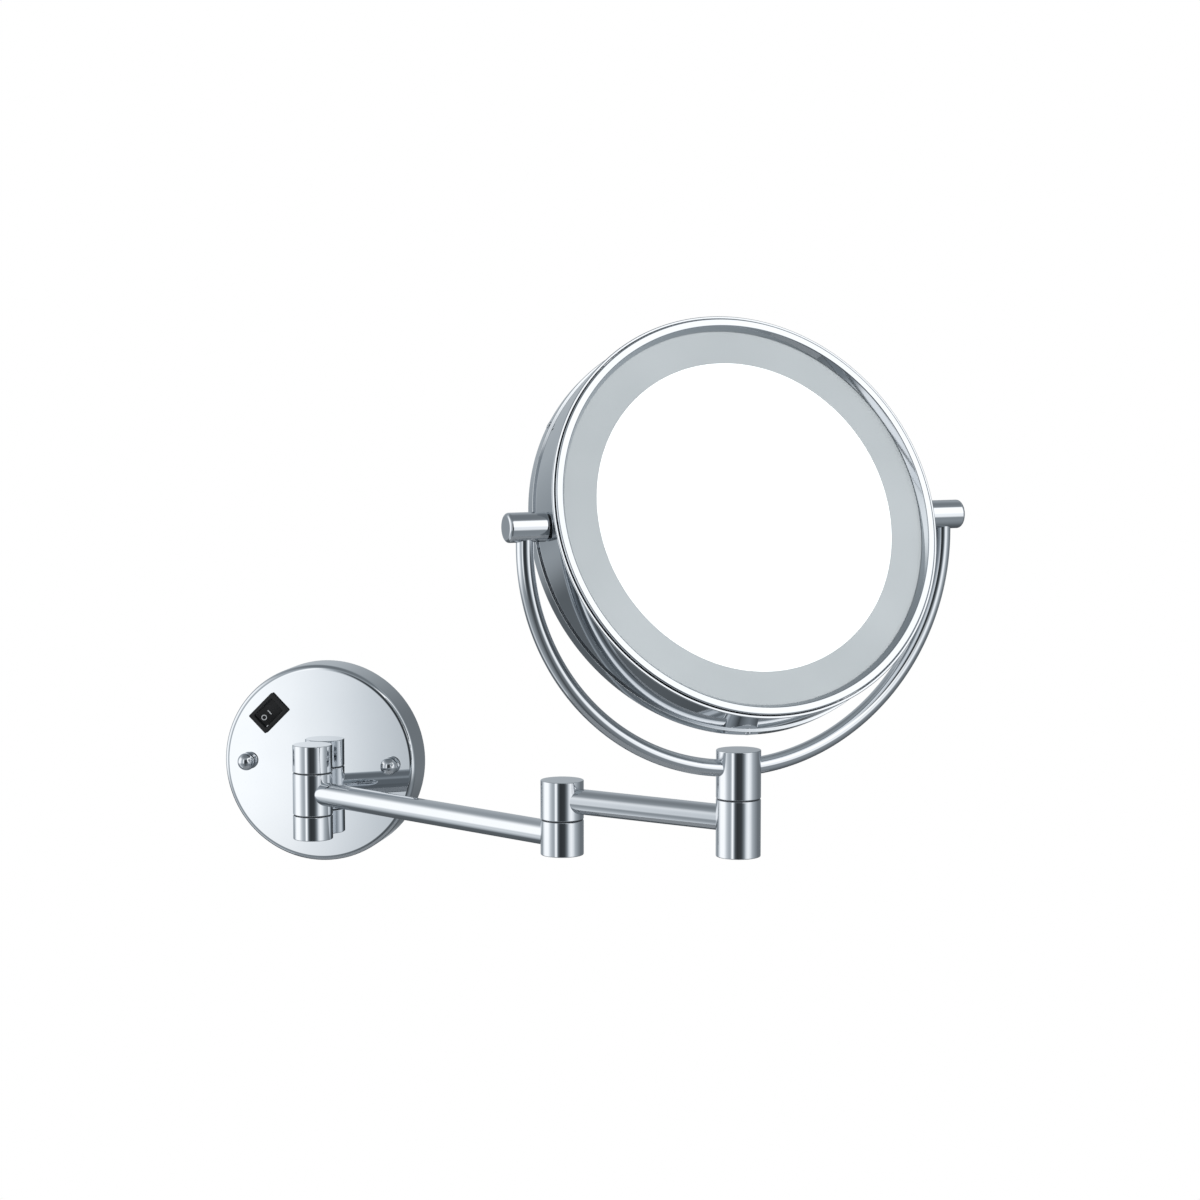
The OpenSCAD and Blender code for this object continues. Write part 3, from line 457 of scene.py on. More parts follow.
def lathe(rows, placing, segments=ROUND):
    """Turns a closed outline round a frame's Z axis: vertices, faces and normals."""
    rings, points, normals = [], [], []
    for r, z, nr, nz in rows:
        count = 1 if r < 1e-9 else segments
        rings.append(range(len(points), len(points) + count))
        for k in range(count):
            a = 2 * math.pi * k / segments
            points.append((r * math.cos(a), r * math.sin(a), z))
            normals.append((nr * math.cos(a), nr * math.sin(a), nz) if count > 1 else (0, 0, nz))
    faces = []
    for i, ring in enumerate(rings):
        above = rings[(i + 1) % len(rings)]
        for k in range(segments):
            a, b = ring[k % len(ring)], ring[(k + 1) % len(ring)]
            c, d = above[(k + 1) % len(above)], above[k % len(above)]
            corners = list(dict.fromkeys((a, b, c, d)))
            if len(corners) > 2:
                faces.append(corners)
    matrix = np.array(placing)
    return (np.array(points) @ matrix[:3, :3].T + matrix[:3, 3], faces,
            np.array(normals) @ matrix[:3, :3].T)


def together(*shapes):
    """Several shapes as one."""
    faces, start = [], 0
    for points, own, _ in shapes:
        faces += [[start + k for k in face] for face in own]
        start += len(points)
    return np.vstack([s[0] for s in shapes]), faces, np.vstack([s[2] for s in shapes])


def along(placing, axis, height=0):
    """Frame with Z along a local direction of another frame, lifted by height."""
    turn = Vector(axis).to_track_quat("Z", "Y").to_matrix().to_4x4()
    return placing @ Matrix.Translation((0, 0, height)) @ turn


def finish_piece(piece, material, body, nodes):
    """Gives a finished object its material, and ties it to the CAD."""
    piece.data.materials.clear()
    piece.data.materials.append(material)
    if piece.name not in scene.collection.objects:
        scene.collection.objects.link(piece)
    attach(piece, body)
    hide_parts(*nodes)
    return piece


def make(name, shape, material, body, slot, *nodes):
    """Piece from points, faces and exact normals."""
    points, faces, normals = shape
    mesh = bpy.data.meshes.new(name)
    mesh.from_pydata([tuple(p) for p in points], [], faces)
    mesh.shade_smooth()
    mesh.normals_split_custom_set_from_vertices([tuple(n) for n in normals])
    print(f"{name}: {len(mesh.polygons)} faces on {body}")
    return finish_piece(bpy.data.objects.new(name, mesh), material, body, nodes)


# %% [markdown]
# ## Canopy
# The canopy is a cup spun from sheet: a face with the slightest crown, a rolled edge, and a skirt
# that reaches the wall. It is open at the back, so the bracket, the driver and the leads show
# there. The crown is only a few tenths of a millimetre, yet it grades the reflection across the
# face from bright to grey.

# %% Canopy shell
canopy_high = local_box("canopy", canopy_frame)[1]
CANOPY_R, CANOPY_DEPTH = canopy_high.x, canopy_high.z
SHEET = 1.2 * MM
EDGE = 3.2 * MM
CROWN = 0.35 * MM


def crowned_face(radius, height, crown, steps=10):
    """Rows of a shallow crown, from the edge to the middle."""
    ball = (radius ** 2 + crown ** 2) / (2 * crown)
    lean = math.asin(radius / ball)
    angles = [lean * (1 - k / steps) for k in range(steps + 1)]
    return [(ball * math.sin(a), height - ball + ball * math.cos(a), math.sin(a), math.cos(a))
            for a in angles]


canopy_rows = outline((CANOPY_R - SHEET, 0, 0.2 * MM), (CANOPY_R, 0, 0.2 * MM),
                      (CANOPY_R, CANOPY_DEPTH - CROWN, EDGE), (0, CANOPY_DEPTH - CROWN, 0),
                      (0, CANOPY_DEPTH - SHEET - CROWN, 0),
                      (CANOPY_R - SHEET, CANOPY_DEPTH - SHEET - CROWN, EDGE - SHEET))
face_start = next(i for i, row in enumerate(canopy_rows) if row[3] > 0.9999)
face_end = next(i for i, row in enumerate(canopy_rows) if row[0] < 1e-9)
canopy_rows[face_start:face_end + 1] = crowned_face(CANOPY_R - EDGE, CANOPY_DEPTH, CROWN)
make("canopy_shell", lathe(canopy_rows, canopy_frame), pressed_chrome, "wall_mount",
     "chrome_plate", "canopy")

# %% [markdown]
# ## Geometry Nodes: one part repeated round a ring
# Screws, nuts and lights all sit at equal steps round a ring, so one node tree makes them all. It
# takes the part as an object, the number of copies, the ring's radius and the first angle, sets
# the copies on the points of a circle, and realises them. The result is kept as a plain mesh, and
# the tree is gone before the piece is tied to its body.

# %% Ring of parts
def add_input(tree, name, kind):
    tree.interface.new_socket(name, in_out="INPUT", socket_type=kind)


def ring_tree():
    """Node tree that repeats an object round a ring about Z."""
    tree = bpy.data.node_groups.new("parts_round_a_ring", "GeometryNodeTree")
    tree.interface.new_socket("Geometry", in_out="OUTPUT", socket_type="NodeSocketGeometry")
    add_input(tree, "Part", "NodeSocketObject")
    add_input(tree, "Count", "NodeSocketInt")
    add_input(tree, "Ring radius", "NodeSocketFloat")
    add_input(tree, "First angle", "NodeSocketFloat")
    add_input(tree, "Material", "NodeSocketMaterial")
    given = add(tree, "NodeGroupInput").outputs
    points = add(tree, "GeometryNodePoints", {"Count": given["Count"]})
    index = add(tree, "GeometryNodeInputIndex").outputs[0]
    step = add(tree, "ShaderNodeMath", {0: 2 * math.pi, 1: given["Count"]}, operation="DIVIDE")
    angle = add(tree, "ShaderNodeMath", {0: index, 1: step.outputs[0], 2: given["First angle"]},
                operation="MULTIPLY_ADD").outputs[0]
    across = add(tree, "ShaderNodeMath", {0: angle}, operation="COSINE")
    up = add(tree, "ShaderNodeMath", {0: angle}, operation="SINE")
    outward = add(tree, "ShaderNodeCombineXYZ", {0: across.outputs[0], 1: up.outputs[0]})
    place = add(tree, "ShaderNodeVectorMath",
                {0: outward.outputs[0], "Scale": given["Ring radius"]}, operation="SCALE")
    turn = add(tree, "FunctionNodeEulerToRotation",
               {0: add(tree, "ShaderNodeCombineXYZ", {2: angle}).outputs[0]})
    placed = add(tree, "GeometryNodeSetPosition", {"Geometry": points.outputs[0],
                                                   "Position": place.outputs[0]})
    part = add(tree, "GeometryNodeObjectInfo", {"Object": given["Part"]})
    copies = add(tree, "GeometryNodeInstanceOnPoints",
                 {"Points": placed.outputs[0], "Instance": part.outputs["Geometry"],
                  "Rotation": turn.outputs[0]})
    real = add(tree, "GeometryNodeRealizeInstances", {"Geometry": copies.outputs[0]})
    painted = add(tree, "GeometryNodeSetMaterial", {"Geometry": real.outputs[0],
                                                    "Material": given["Material"]})
    add(tree, "NodeGroupOutput", {0: painted.outputs[0]})
    return tree


def from_nodes(name, tree, values, placing):
    """Plain mesh object from a node tree with its named inputs set."""
    holder = bpy.data.objects.new(name + "_nodes", bpy.data.meshes.new(name + "_nodes"))
    scene.collection.objects.link(holder)
    modifier = holder.modifiers.new("nodes", "NODES")
    modifier.node_group = tree
    sockets = {item.name: item.identifier for item in tree.interface.items_tree
               if item.in_out == "INPUT"}
    for key, value in values.items():
        modifier[sockets[key]] = value
    bpy.context.view_layer.update()
    ready = holder.evaluated_get(bpy.context.evaluated_depsgraph_get())
    mesh = bpy.data.meshes.new_from_object(ready)
    mesh.name = name
    bpy.data.objects.remove(holder)
    mesh.transform(placing)
    print(f"{name}: {len(mesh.polygons)} faces from nodes")
    return bpy.data.objects.new(name, mesh)


def loose_part(name, shape):
    """Object that only a node tree reads: it never shows by itself."""
    points, faces, normals = shape
    mesh = bpy.data.meshes.new(name)
    mesh.from_pydata([tuple(p) for p in points], [], faces)
    mesh.shade_smooth()
    return bpy.data.objects.new(name, mesh)


ROUND_RING = ring_tree()
IN_PLACE = Matrix.Identity(4)
print("ring tree has", len(ROUND_RING.nodes), "nodes")

# %% [markdown]
# ## Ball nuts
# Two ball nuts hold the canopy on its studs. Each is a ball turned from bar, cut flat where it
# meets the canopy, and it catches a small picture of the whole room.

# %% Ball nuts
nut_high = local_box("fixing_nuts", canopy_frame)[1]
BALL_R = nut_high.y
NUT_RING = nut_high.x - BALL_R
BALL_Z = nut_high.z - BALL_R
FOOT_Z = CANOPY_DEPTH - 0.4 * MM     # a little inside the crowned face
foot_angle = -math.degrees(math.asin(min(0.95, (BALL_Z - CANOPY_DEPTH) / BALL_R)))
foot_r = BALL_R * math.cos(math.radians(foot_angle))
nut_rows = [(0, FOOT_Z, 0, -1), (foot_r, FOOT_Z, 0, -1)]
nut_rows += arc_rows(0, BALL_Z, BALL_R, foot_angle, 90)
nut_rows[-1] = (0, BALL_Z + BALL_R, 0, 1)
nut_part = loose_part("ball_nut_part", lathe(nut_rows, Matrix.Translation((0, 0, 0)), 48))
nuts = from_nodes("ball_nuts", ROUND_RING,
                  {"Part": nut_part, "Count": 2, "Ring radius": NUT_RING, "First angle": 0.0,
                   "Material": chrome}, canopy_frame)
finish_piece(nuts, chrome, "wall_mount", ["fixing_nuts"])

# %% [markdown]
# ## Pivot hubs
# Every hub is a stack of segments turned from brass bar, with edges broken by about half a
# millimetre. The lower segment of a joint is open below and closed by a plug, the upper one is
# closed on top. The segments are hollow, as the real ones are, because the leads run through them.

# %% Hub segments
WASHER_INSET = 0.5 * MM         # the washer's rim stands in from the hub's
BUSH_WALL = 1.55 * MM
HUB_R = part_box("elbow_thrust_washer")[1].x - elbow_at.x + WASHER_INSET
CHAMBER_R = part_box("elbow_lower_cap")[1].x - elbow_at.x
BUSH_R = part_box("elbow_bush")[1].x - elbow_at.x
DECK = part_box("elbow_bush")[1].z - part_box("elbow_bush")[0].z
PIVOT_R = BUSH_R - BUSH_WALL
BROKEN_EDGE = 0.45 * MM
FINE_EDGE = 0.1 * MM
NECK_R, NECK_L, BOSS_R = 4 * MM, 8 * MM, 6 * MM


def heights(node):
    lowest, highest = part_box(node)
    return lowest.z, highest.z


def open_below(z0, z1):
    """Lower segment: hollow, with a roof that the bush sits in."""
    return outline((CHAMBER_R, z0, FINE_EDGE), (HUB_R, z0, BROKEN_EDGE),
                   (HUB_R, z1, BROKEN_EDGE), (BUSH_R, z1, FINE_EDGE),
                   (BUSH_R, z1 - DECK, FINE_EDGE), (CHAMBER_R, z1 - DECK, FINE_EDGE))


def closed_above(z0, z1):
    """Upper segment: threaded floor, hollow, closed top."""
    return outline((PIVOT_R, z0, FINE_EDGE), (HUB_R, z0, BROKEN_EDGE), (HUB_R, z1, BROKEN_EDGE),
                   (0, z1, 0), (0, z1 - DECK, 0), (CHAMBER_R, z1 - DECK, FINE_EDGE),
                   (CHAMBER_R, z0 + DECK, FINE_EDGE), (PIVOT_R, z0 + DECK, FINE_EDGE))


def closed_below(z0, z1):
    """Lowest wall segment: solid below, with a seat for the sleeve's lower pivot."""
    return outline((0, z0, 0), (HUB_R, z0, BROKEN_EDGE), (HUB_R, z1, BROKEN_EDGE), (0, z1, 0))


def plug(z0, z1):
    return outline((0, z0, 0), (CHAMBER_R, z0, 0.2 * MM), (CHAMBER_R, z1, 0.2 * MM), (0, z1, 0))


def boss(z):
    """Boss between a wall segment and the canopy, with its spigot through the canopy."""
    placing = Matrix.Translation((0, 0, z)) @ canopy_frame
    reach = -wall_at.y - HUB_R / 2
    back = CANOPY_DEPTH - SHEET - NECK_L
    rows = outline((0, back, 0), (NECK_R, back, 0.3 * MM), (NECK_R, CANOPY_DEPTH, FINE_EDGE),
                   (BOSS_R, CANOPY_DEPTH, FINE_EDGE), (BOSS_R, reach, FINE_EDGE), (0, reach, 0))
    return lathe(rows, placing, 64)


for node, rows, placing, body in (
        ("wall_sleeve", open_below, wall_frame, "wall_arm"),
        ("elbow_lower", open_below, elbow_frame, "wall_arm"),
        ("elbow_lower_cap", plug, elbow_frame, "wall_arm"),
        ("elbow_upper", closed_above, elbow_frame, "front_arm"),
        ("swivel_lower", open_below, swivel_frame, "front_arm"),
        ("swivel_lower_cap", plug, swivel_frame, "front_arm"),
        ("swivel_upper", closed_above, swivel_frame, "yoke")):
    make(node + "_turned", lathe(rows(*heights(node)), placing), chrome, body, "chrome_plate", node)

for node, rows in (("wall_hub_top", closed_above), ("wall_hub_bottom", closed_below)):
    z0, z1 = heights(node)
    if node == "wall_hub_bottom":
        z1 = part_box("wall_thrust_washers")[0].z - 0.1 * MM
    shape = together(lathe(rows(z0, z1), wall_frame), boss((z0 + z1) / 2))
    make(node + "_turned", shape, chrome, "wall_mount", "chrome_plate", node)

# %% [markdown]
# ## Arm tubes
# The arms are drawn brass tube, brazed into the hubs before plating. A tube is a lathe outline
# turned about the arm's own direction; its ends are inside the hubs.

# %% Arms
def tube_between(node, placing, name, body):
    lowest, highest = local_box(node, placing)
    radius = (highest.z - lowest.z) / 2
    level = (highest.z + lowest.z) / 2
    wall = 1 * MM
    rows = outline((radius - wall, lowest.x, FINE_EDGE), (radius, lowest.x, FINE_EDGE),
                   (radius, highest.x, FINE_EDGE), (radius - wall, highest.x, FINE_EDGE))
    return make(name, lathe(rows, along(placing, (1, 0, 0), level), 96), chrome, body,
                "chrome_plate", node)


tube_between("wall_arm_tube", wall_frame, "wall_arm_drawn_tube", "wall_arm")
tube_between("front_arm_tube", elbow_frame, "front_arm_drawn_tube", "front_arm")

# %% [markdown]
# ## Geometry Nodes: the yoke
# The yoke is one tube bent to a half ring with short straight legs. Its line follows a rule: walk
# a distance s from the lowest point, turn by s over the ring's radius until a quarter turn is
# done, then go straight up. Geometry Nodes bend a straight line of points by that rule and sweep a
# circle along it, so the ring, the legs and the tube are three named sizes.

# %% Yoke tube
def yoke_tree():
    tree = bpy.data.node_groups.new("bent_yoke", "GeometryNodeTree")
    tree.interface.new_socket("Geometry", in_out="OUTPUT", socket_type="NodeSocketGeometry")
    for name in ("Ring radius", "Leg", "Tube radius"):
        add_input(tree, name, "NodeSocketFloat")
    add_input(tree, "Points", "NodeSocketInt")
    add_input(tree, "Material", "NodeSocketMaterial")
    given = add(tree, "NodeGroupInput").outputs

    value = {"radius": given["Ring radius"], "leg": given["Leg"],
             "share": add(tree, "GeometryNodeSplineParameter").outputs["Factor"]}
    for name, operation, *terms in (
            ("quarter", "MULTIPLY", "radius", math.pi / 2),
            ("half length", "ADD", "quarter", "leg"),
            ("signed share", "MULTIPLY_ADD", "share", 2.0, -1.0),
            ("walked", "MULTIPLY", "signed share", "half length"),
            ("distance", "ABSOLUTE", "walked"),
            ("bent", "MINIMUM", "distance", "quarter"),
            ("straight", "SUBTRACT", "distance", "bent"),
            ("turned", "DIVIDE", "bent", "radius"),
            ("sine", "SINE", "turned"),
            ("reach", "MULTIPLY", "sine", "radius"),
            ("side", "SIGN", "walked"),
            ("across", "MULTIPLY", "reach", "side"),
            ("cosine", "COSINE", "turned"),
            ("drop", "SUBTRACT", 1.0, "cosine"),
            ("rise", "MULTIPLY_ADD", "drop", "radius", "straight")):
        inputs = {k: value.get(term, term) for k, term in enumerate(terms)}
        value[name] = add(tree, "ShaderNodeMath", inputs, operation=operation).outputs[0]
    place = add(tree, "ShaderNodeCombineXYZ", {0: value["across"], 2: value["rise"]})
    line = add(tree, "GeometryNodeCurvePrimitiveLine", {"End": (1, 0, 0)})
    dense = add(tree, "GeometryNodeResampleCurve", {"Curve": line.outputs[0],
                                                    "Count": given["Points"]})
    bend = add(tree, "GeometryNodeSetPosition", {"Geometry": dense.outputs[0],
                                                 "Position": place.outputs[0]})
    circle = add(tree, "GeometryNodeCurvePrimitiveCircle", {"Resolution": 64,
                                                            "Radius": given["Tube radius"]})
    tube = add(tree, "GeometryNodeCurveToMesh", {"Curve": bend.outputs[0],
                                                 "Profile Curve": circle.outputs[0],
                                                 "Fill Caps": True})
    smooth = add(tree, "GeometryNodeSetShadeSmooth", {"Geometry": tube.outputs[0]})
    real = add(tree, "GeometryNodeRealizeInstances", {"Geometry": smooth.outputs[0]})
    painted = add(tree, "GeometryNodeSetMaterial", {"Geometry": real.outputs[0],
                                                    "Material": given["Material"]})
    add(tree, "NodeGroupOutput", {0: painted.outputs[0]})
    return tree


yoke_low, yoke_high = local_box("yoke_tube", swivel_frame)
YOKE_TUBE_R = (yoke_high.y - yoke_low.y) / 2
YOKE_R = yoke_high.x - YOKE_TUBE_R
YOKE_Z = yoke_low.z + YOKE_TUBE_R
yoke = from_nodes("yoke_bent_tube", yoke_tree(),
                  {"Ring radius": YOKE_R, "Leg": yoke_high.z - YOKE_Z - YOKE_R,
                   "Tube radius": YOKE_TUBE_R, "Points": 240, "Material": chrome},
                  swivel_frame @ Matrix.Translation((0, 0, YOKE_Z)))
finish_piece(yoke, chrome, "yoke", ["yoke_tube"])

# %% [markdown]
# ## Knobs
# Two knobs turned from bar clamp the head between the yoke's legs. The outer end is rounded over,
# so a fingertip finds it and it holds a soft highlight.

# %% Knobs
KNOB_EDGE = 1.9 * MM
for side, node in ((-1, "pivot_knob_left"), (1, "pivot_knob_right")):
    knob_frame = frame_at(tilt_at, tilt_axis * side, UP)
    knob_low, knob_high = local_box(node, knob_frame)
    knob_r = (knob_high.y - knob_low.y) / 2
    knob_rows = outline((0, knob_low.z, 0), (knob_r, knob_low.z, 0.4 * MM),
                        (knob_r, knob_high.z, KNOB_EDGE), (0, knob_high.z, 0))
    make(node + "_turned", lathe(knob_rows, knob_frame, 96), chrome, "yoke", "chrome_plate", node)

# %% [markdown]
# ## Rocker switch
# The switch snaps into a rectangular hole in the canopy, turned by 45 degrees. Its frame and rocker
# are moulded, so every edge has a radius, and both are built as stacks of rounded rectangles
# joined ring by ring. The rocker's two pads are hollowed for the finger, and it carries the usual
# circle and bar, which are thin pads of ink that ride on it.

# %% Stacks of rounded rectangles
CORNER_STEPS = 5


def rectangle(half_x, half_y, corner, z):
    """Ring of points round a rounded rectangle."""
    ring = []
    for quarter, (sx, sy) in enumerate(((1, 1), (-1, 1), (-1, -1), (1, -1))):
        for k in range(CORNER_STEPS + 1):
            a = math.pi / 2 * (quarter + k / CORNER_STEPS)
            ring.append((sx * (half_x - corner) + corner * math.cos(a),
                         sy * (half_y - corner) + corner * math.sin(a), z))
    return ring


def stack(name, rings, placing, reshape=None):
    """Plain mesh object from rings, closed at both ends, with sharp edges kept sharp."""
    points = [Vector(p) for ring in rings for p in ring]
    if reshape:
        points = [reshape(p) for p in points]
    count = len(rings[0])
    faces = [list(range(count))[::-1], [len(points) - count + k for k in range(count)]]
    for i in range(len(rings) - 1):
        for k in range(count):
            n = (k + 1) % count
            faces.append([i * count + k, i * count + n, (i + 1) * count + n, (i + 1) * count + k])
    mesh = bpy.data.meshes.new(name)
    mesh.from_pydata([tuple(placing @ p) for p in points], [], faces)
    tidy = bmesh.new()
    tidy.from_mesh(mesh)
    bmesh.ops.recalc_face_normals(tidy, faces=tidy.faces)
    tidy.to_mesh(mesh)
    tidy.free()
    mesh.shade_smooth()
    mesh.set_sharp_from_angle(angle=math.radians(35))
    return bpy.data.objects.new(name, mesh)


# %% Switch frame, rocker and marks
flange_low, flange_high = local_box("switch_housing", switch_frame)
pad_high = local_box("rocker_paddle", switch_frame)[1]
FLANGE_X, FLANGE_Y, FLANGE_TOP = flange_high.x, flange_high.y, flange_high.z
FLANGE_BASE = FLANGE_TOP - 2 * MM
BODY_X, BODY_Y = 9.5 * MM, 6.5 * MM
SLOT_X, SLOT_Y, SLOT_FLOOR = 7.75 * MM, 5.1 * MM, FLANGE_TOP - 11 * MM
ROCKER_X, ROCKER_Y = 7 * MM, pad_high.y
REST_TURN = math.radians(7)
FLANGE_EDGE = 0.5 * MM
rim = [rectangle(BODY_X, BODY_Y, 0.4 * MM, flange_low.z),
       rectangle(BODY_X, BODY_Y, 0.4 * MM, FLANGE_BASE),
       rectangle(FLANGE_X - 0.1 * MM, FLANGE_Y - 0.1 * MM, 0.7 * MM, FLANGE_BASE)]
for k in range(ARC_STEPS + 1):
    a = math.pi / 2 * k / ARC_STEPS
    inset = FLANGE_EDGE * (1 - math.cos(a))
    rim.append(rectangle(FLANGE_X - inset, FLANGE_Y - inset, 0.8 * MM,
                         FLANGE_TOP - FLANGE_EDGE * (1 - math.sin(a))))
rim += [rectangle(SLOT_X + 0.25 * MM, SLOT_Y + 0.25 * MM, 0.5 * MM, FLANGE_TOP),
        rectangle(SLOT_X, SLOT_Y, 0.4 * MM, FLANGE_TOP - 0.3 * MM),
        rectangle(SLOT_X, SLOT_Y, 0.4 * MM, SLOT_FLOOR)]
housing = stack("switch_frame_moulded", rim, switch_frame)
finish_piece(housing, black_abs, "wall_mount", ["switch_housing"])

ROCKER_TOP = 4.6 * MM
ROCKER_DIP = 0.8 * MM
ROCKER_BOTTOM = -4 * MM
ROCKER_FOOT = 5.5 / 7


def rocker_height(x):
    """Height of the rocker's hollowed top at a distance from its middle."""
    share = min(1.0, abs(x) / ROCKER_X)
    return ROCKER_TOP - ROCKER_DIP * (1 - share ** 1.6)


rocker_turn = Matrix.Rotation(REST_TURN, 4, "Y")
rocker_frame = switch_frame @ rocker_turn
profile = [(ROCKER_X * (k / 12 - 1), rocker_height(ROCKER_X * (k / 12 - 1))) for k in range(25)]
profile = [(ROCKER_X * ROCKER_FOOT, ROCKER_BOTTOM), *profile[::-1],
           (-ROCKER_X * ROCKER_FOOT, ROCKER_BOTTOM)]


def shrink(points, by):
    """The same side outline, pulled in towards its middle by a bevel's width."""
    return [(x * (1 - by / ROCKER_X), z - by * 0.6 * (1 if z > 0 else -1)) for x, z in points]


slices = []
bevel = 0.35 * MM
for y, by in ((-ROCKER_Y, bevel), (-ROCKER_Y + bevel * 0.3, bevel * 0.3), (-ROCKER_Y + bevel, 0),
              (ROCKER_Y - bevel, 0), (ROCKER_Y - bevel * 0.3, bevel * 0.3), (ROCKER_Y, bevel)):
    slices.append([(x, y, z) for x, z in shrink(profile, by)])
rocker = stack("switch_rocker_moulded", slices, rocker_frame)
finish_piece(rocker, rocker_abs, "switch_rocker", ["rocker_paddle"])


def on_rocker(point):
    """Lays a flat mark on the rocker's hollowed top."""
    return Vector((point.x, point.y, rocker_height(point.x) + point.z))


INK = 0.05 * MM                 # half the thickness of a printed mark
BAR_AT, CIRCLE_AT = 0.15 * MM, -4.4 * MM
CIRCLE_OUT, CIRCLE_IN = 1.7 * MM, 1.15 * MM
CIRCLE_STEPS = 40
bar = stack("switch_mark_bar", [rectangle(0.3 * MM, 1.65 * MM, 0.15 * MM, z) for z in (-INK, INK)],
            rocker_frame, lambda p: on_rocker(p + Vector((BAR_AT, 0, 0))))
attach(bar, "switch_rocker")
bar.data.materials.append(mark_ink)
scene.collection.objects.link(bar)

circle_rows = [(CIRCLE_OUT, -INK), (CIRCLE_OUT, INK), (CIRCLE_IN, INK), (CIRCLE_IN, -INK)]
circle_points, circle_faces = [], []
for k in range(CIRCLE_STEPS):
    a = 2 * math.pi * k / CIRCLE_STEPS
    for r, z in circle_rows:
        flat = Vector((r * math.cos(a) + CIRCLE_AT, r * math.sin(a), z))
        circle_points.append(rocker_frame @ on_rocker(flat))
    for i in range(4):
        here, ahead = 4 * k, 4 * ((k + 1) % CIRCLE_STEPS)
        circle_faces.append([here + i, ahead + i, ahead + (i + 1) % 4, here + (i + 1) % 4])
circle_mesh = bpy.data.meshes.new("switch_mark_circle")
circle_mesh.from_pydata([tuple(p) for p in circle_points], [], circle_faces)
circle_mesh.materials.append(mark_ink)
circle = bpy.data.objects.new("switch_mark_circle", circle_mesh)
scene.collection.objects.link(circle)
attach(circle, "switch_rocker")
print("switch: frame, rocker and two marks")

# %% [markdown]
# ## Mirror head
# The head is a drum of thin pressed sheet. From the front come the case's rolled lip, a dark step,
# a broad rounded bezel, the etched band and the mirror. Behind, a deeper bezel holds the
# magnifying mirror, and its skirt stands a millimetre proud of the case, which shows as a fine
# line round the drum.

# %% Case and bezels
case_low, case_high = local_box("head_case", head_frame)
ring_low, ring_high = local_box("front_bezel", head_frame)
back_low, back_high = local_box("rear_bezel", head_frame)
band_low, band_high = local_box("light_diffuser", head_frame)
clear_low, clear_high = local_box("front_mirror", head_frame)
CASE_R, CASE_WALL = case_high.x, 1.5 * MM
LIP = 0.5 * MM
case_rows = outline((CASE_R - CASE_WALL, case_low.z, FINE_EDGE), (CASE_R, case_low.z, FINE_EDGE),
                    (CASE_R, case_high.z, LIP), (CASE_R - CASE_WALL, case_high.z, LIP))
make("head_case_pressed", lathe(case_rows, head_frame, 256), pressed_chrome, "head",
     "polished_case", "head_case")

BEZEL_R, BEZEL_TOP = ring_high.x, ring_high.z
BEZEL_IN = BEZEL_R - 5.9 * MM
BEZEL_ROLL = 0.85 * MM
BEVEL = 2.0 * MM        # the inner edge slopes down to the glass
SKIRT = 1.2 * MM
bezel_rows = outline((BEZEL_IN, clear_high.z + 0.2 * MM, FINE_EDGE),
                     (BEZEL_IN + SKIRT, clear_high.z + 0.2 * MM, FINE_EDGE),
                     (BEZEL_IN + BEVEL, BEZEL_TOP - 1.5 * MM, FINE_EDGE),
                     (BEZEL_R - SKIRT, BEZEL_TOP - 1.5 * MM, FINE_EDGE),
                     (BEZEL_R - SKIRT, ring_low.z, FINE_EDGE), (BEZEL_R, ring_low.z, FINE_EDGE),
                     (BEZEL_R, BEZEL_TOP, BEZEL_ROLL), (BEZEL_IN + BEVEL, BEZEL_TOP, BEZEL_ROLL),
                     (BEZEL_IN, clear_high.z + 0.6 * MM, FINE_EDGE))
make("front_bezel_rolled", lathe(bezel_rows, head_frame, 256), pressed_chrome, "head",
     "polished_case", "front_bezel")

BACK_R, BACK_FACE = back_high.x, back_low.z
BACK_WIDTH = 8 * MM
BACK_SHEET = 1.8 * MM
SPIGOT_R = CASE_R - CASE_WALL
back_rows = outline((BACK_R - BACK_WIDTH, BACK_FACE, 0.85 * MM), (BACK_R, BACK_FACE, 2.2 * MM),
                    (BACK_R, case_low.z, 0.3 * MM), (SPIGOT_R, case_low.z, FINE_EDGE),
                    (SPIGOT_R, back_high.z, FINE_EDGE), (SPIGOT_R - SKIRT, back_high.z, FINE_EDGE),
                    (SPIGOT_R - SKIRT, BACK_FACE + BACK_SHEET, FINE_EDGE),
                    (BACK_R - BACK_WIDTH, BACK_FACE + BACK_SHEET, 0.85 * MM))
make("rear_bezel_pressed", lathe(back_rows, head_frame, 256), pressed_chrome, "head",
     "polished_case", "rear_bezel")

# %% [markdown]
# ## Two mirrors and the band of light
# The front mirror is flat. The rear one is hollow, a shallow bowl of constant depth of glass, and
# magnifies. Polished glass edges are small bright arrises, so each gets a tiny chamfer. The band
# is one etched ring between mirror and bezel; behind it a ring of lights sits on its board.

# %% Glass
CLEAR_R = clear_high.x
mirror_rows = outline((0, clear_low.z, 0), (CLEAR_R, clear_low.z, 0.2 * MM),
                      (CLEAR_R, clear_high.z, 0.08 * MM), (0, clear_high.z, 0))
make("front_mirror_silvered", lathe(mirror_rows, head_frame, 256), silvered, "head",
     "mirror_glass", "front_mirror")

BAND_R = CLEAR_R + 0.02 * MM        # a hair's gap to the mirror
band_rows = outline((BAND_R, band_low.z, FINE_EDGE), (band_high.x, band_low.z, FINE_EDGE),
                    (band_high.x, band_high.z, FINE_EDGE), (BAND_R, band_high.z, 0.08 * MM))
make("etched_light_band", lathe(band_rows, head_frame, 256), frosted, "head", "frosted_band",
     "light_diffuser")

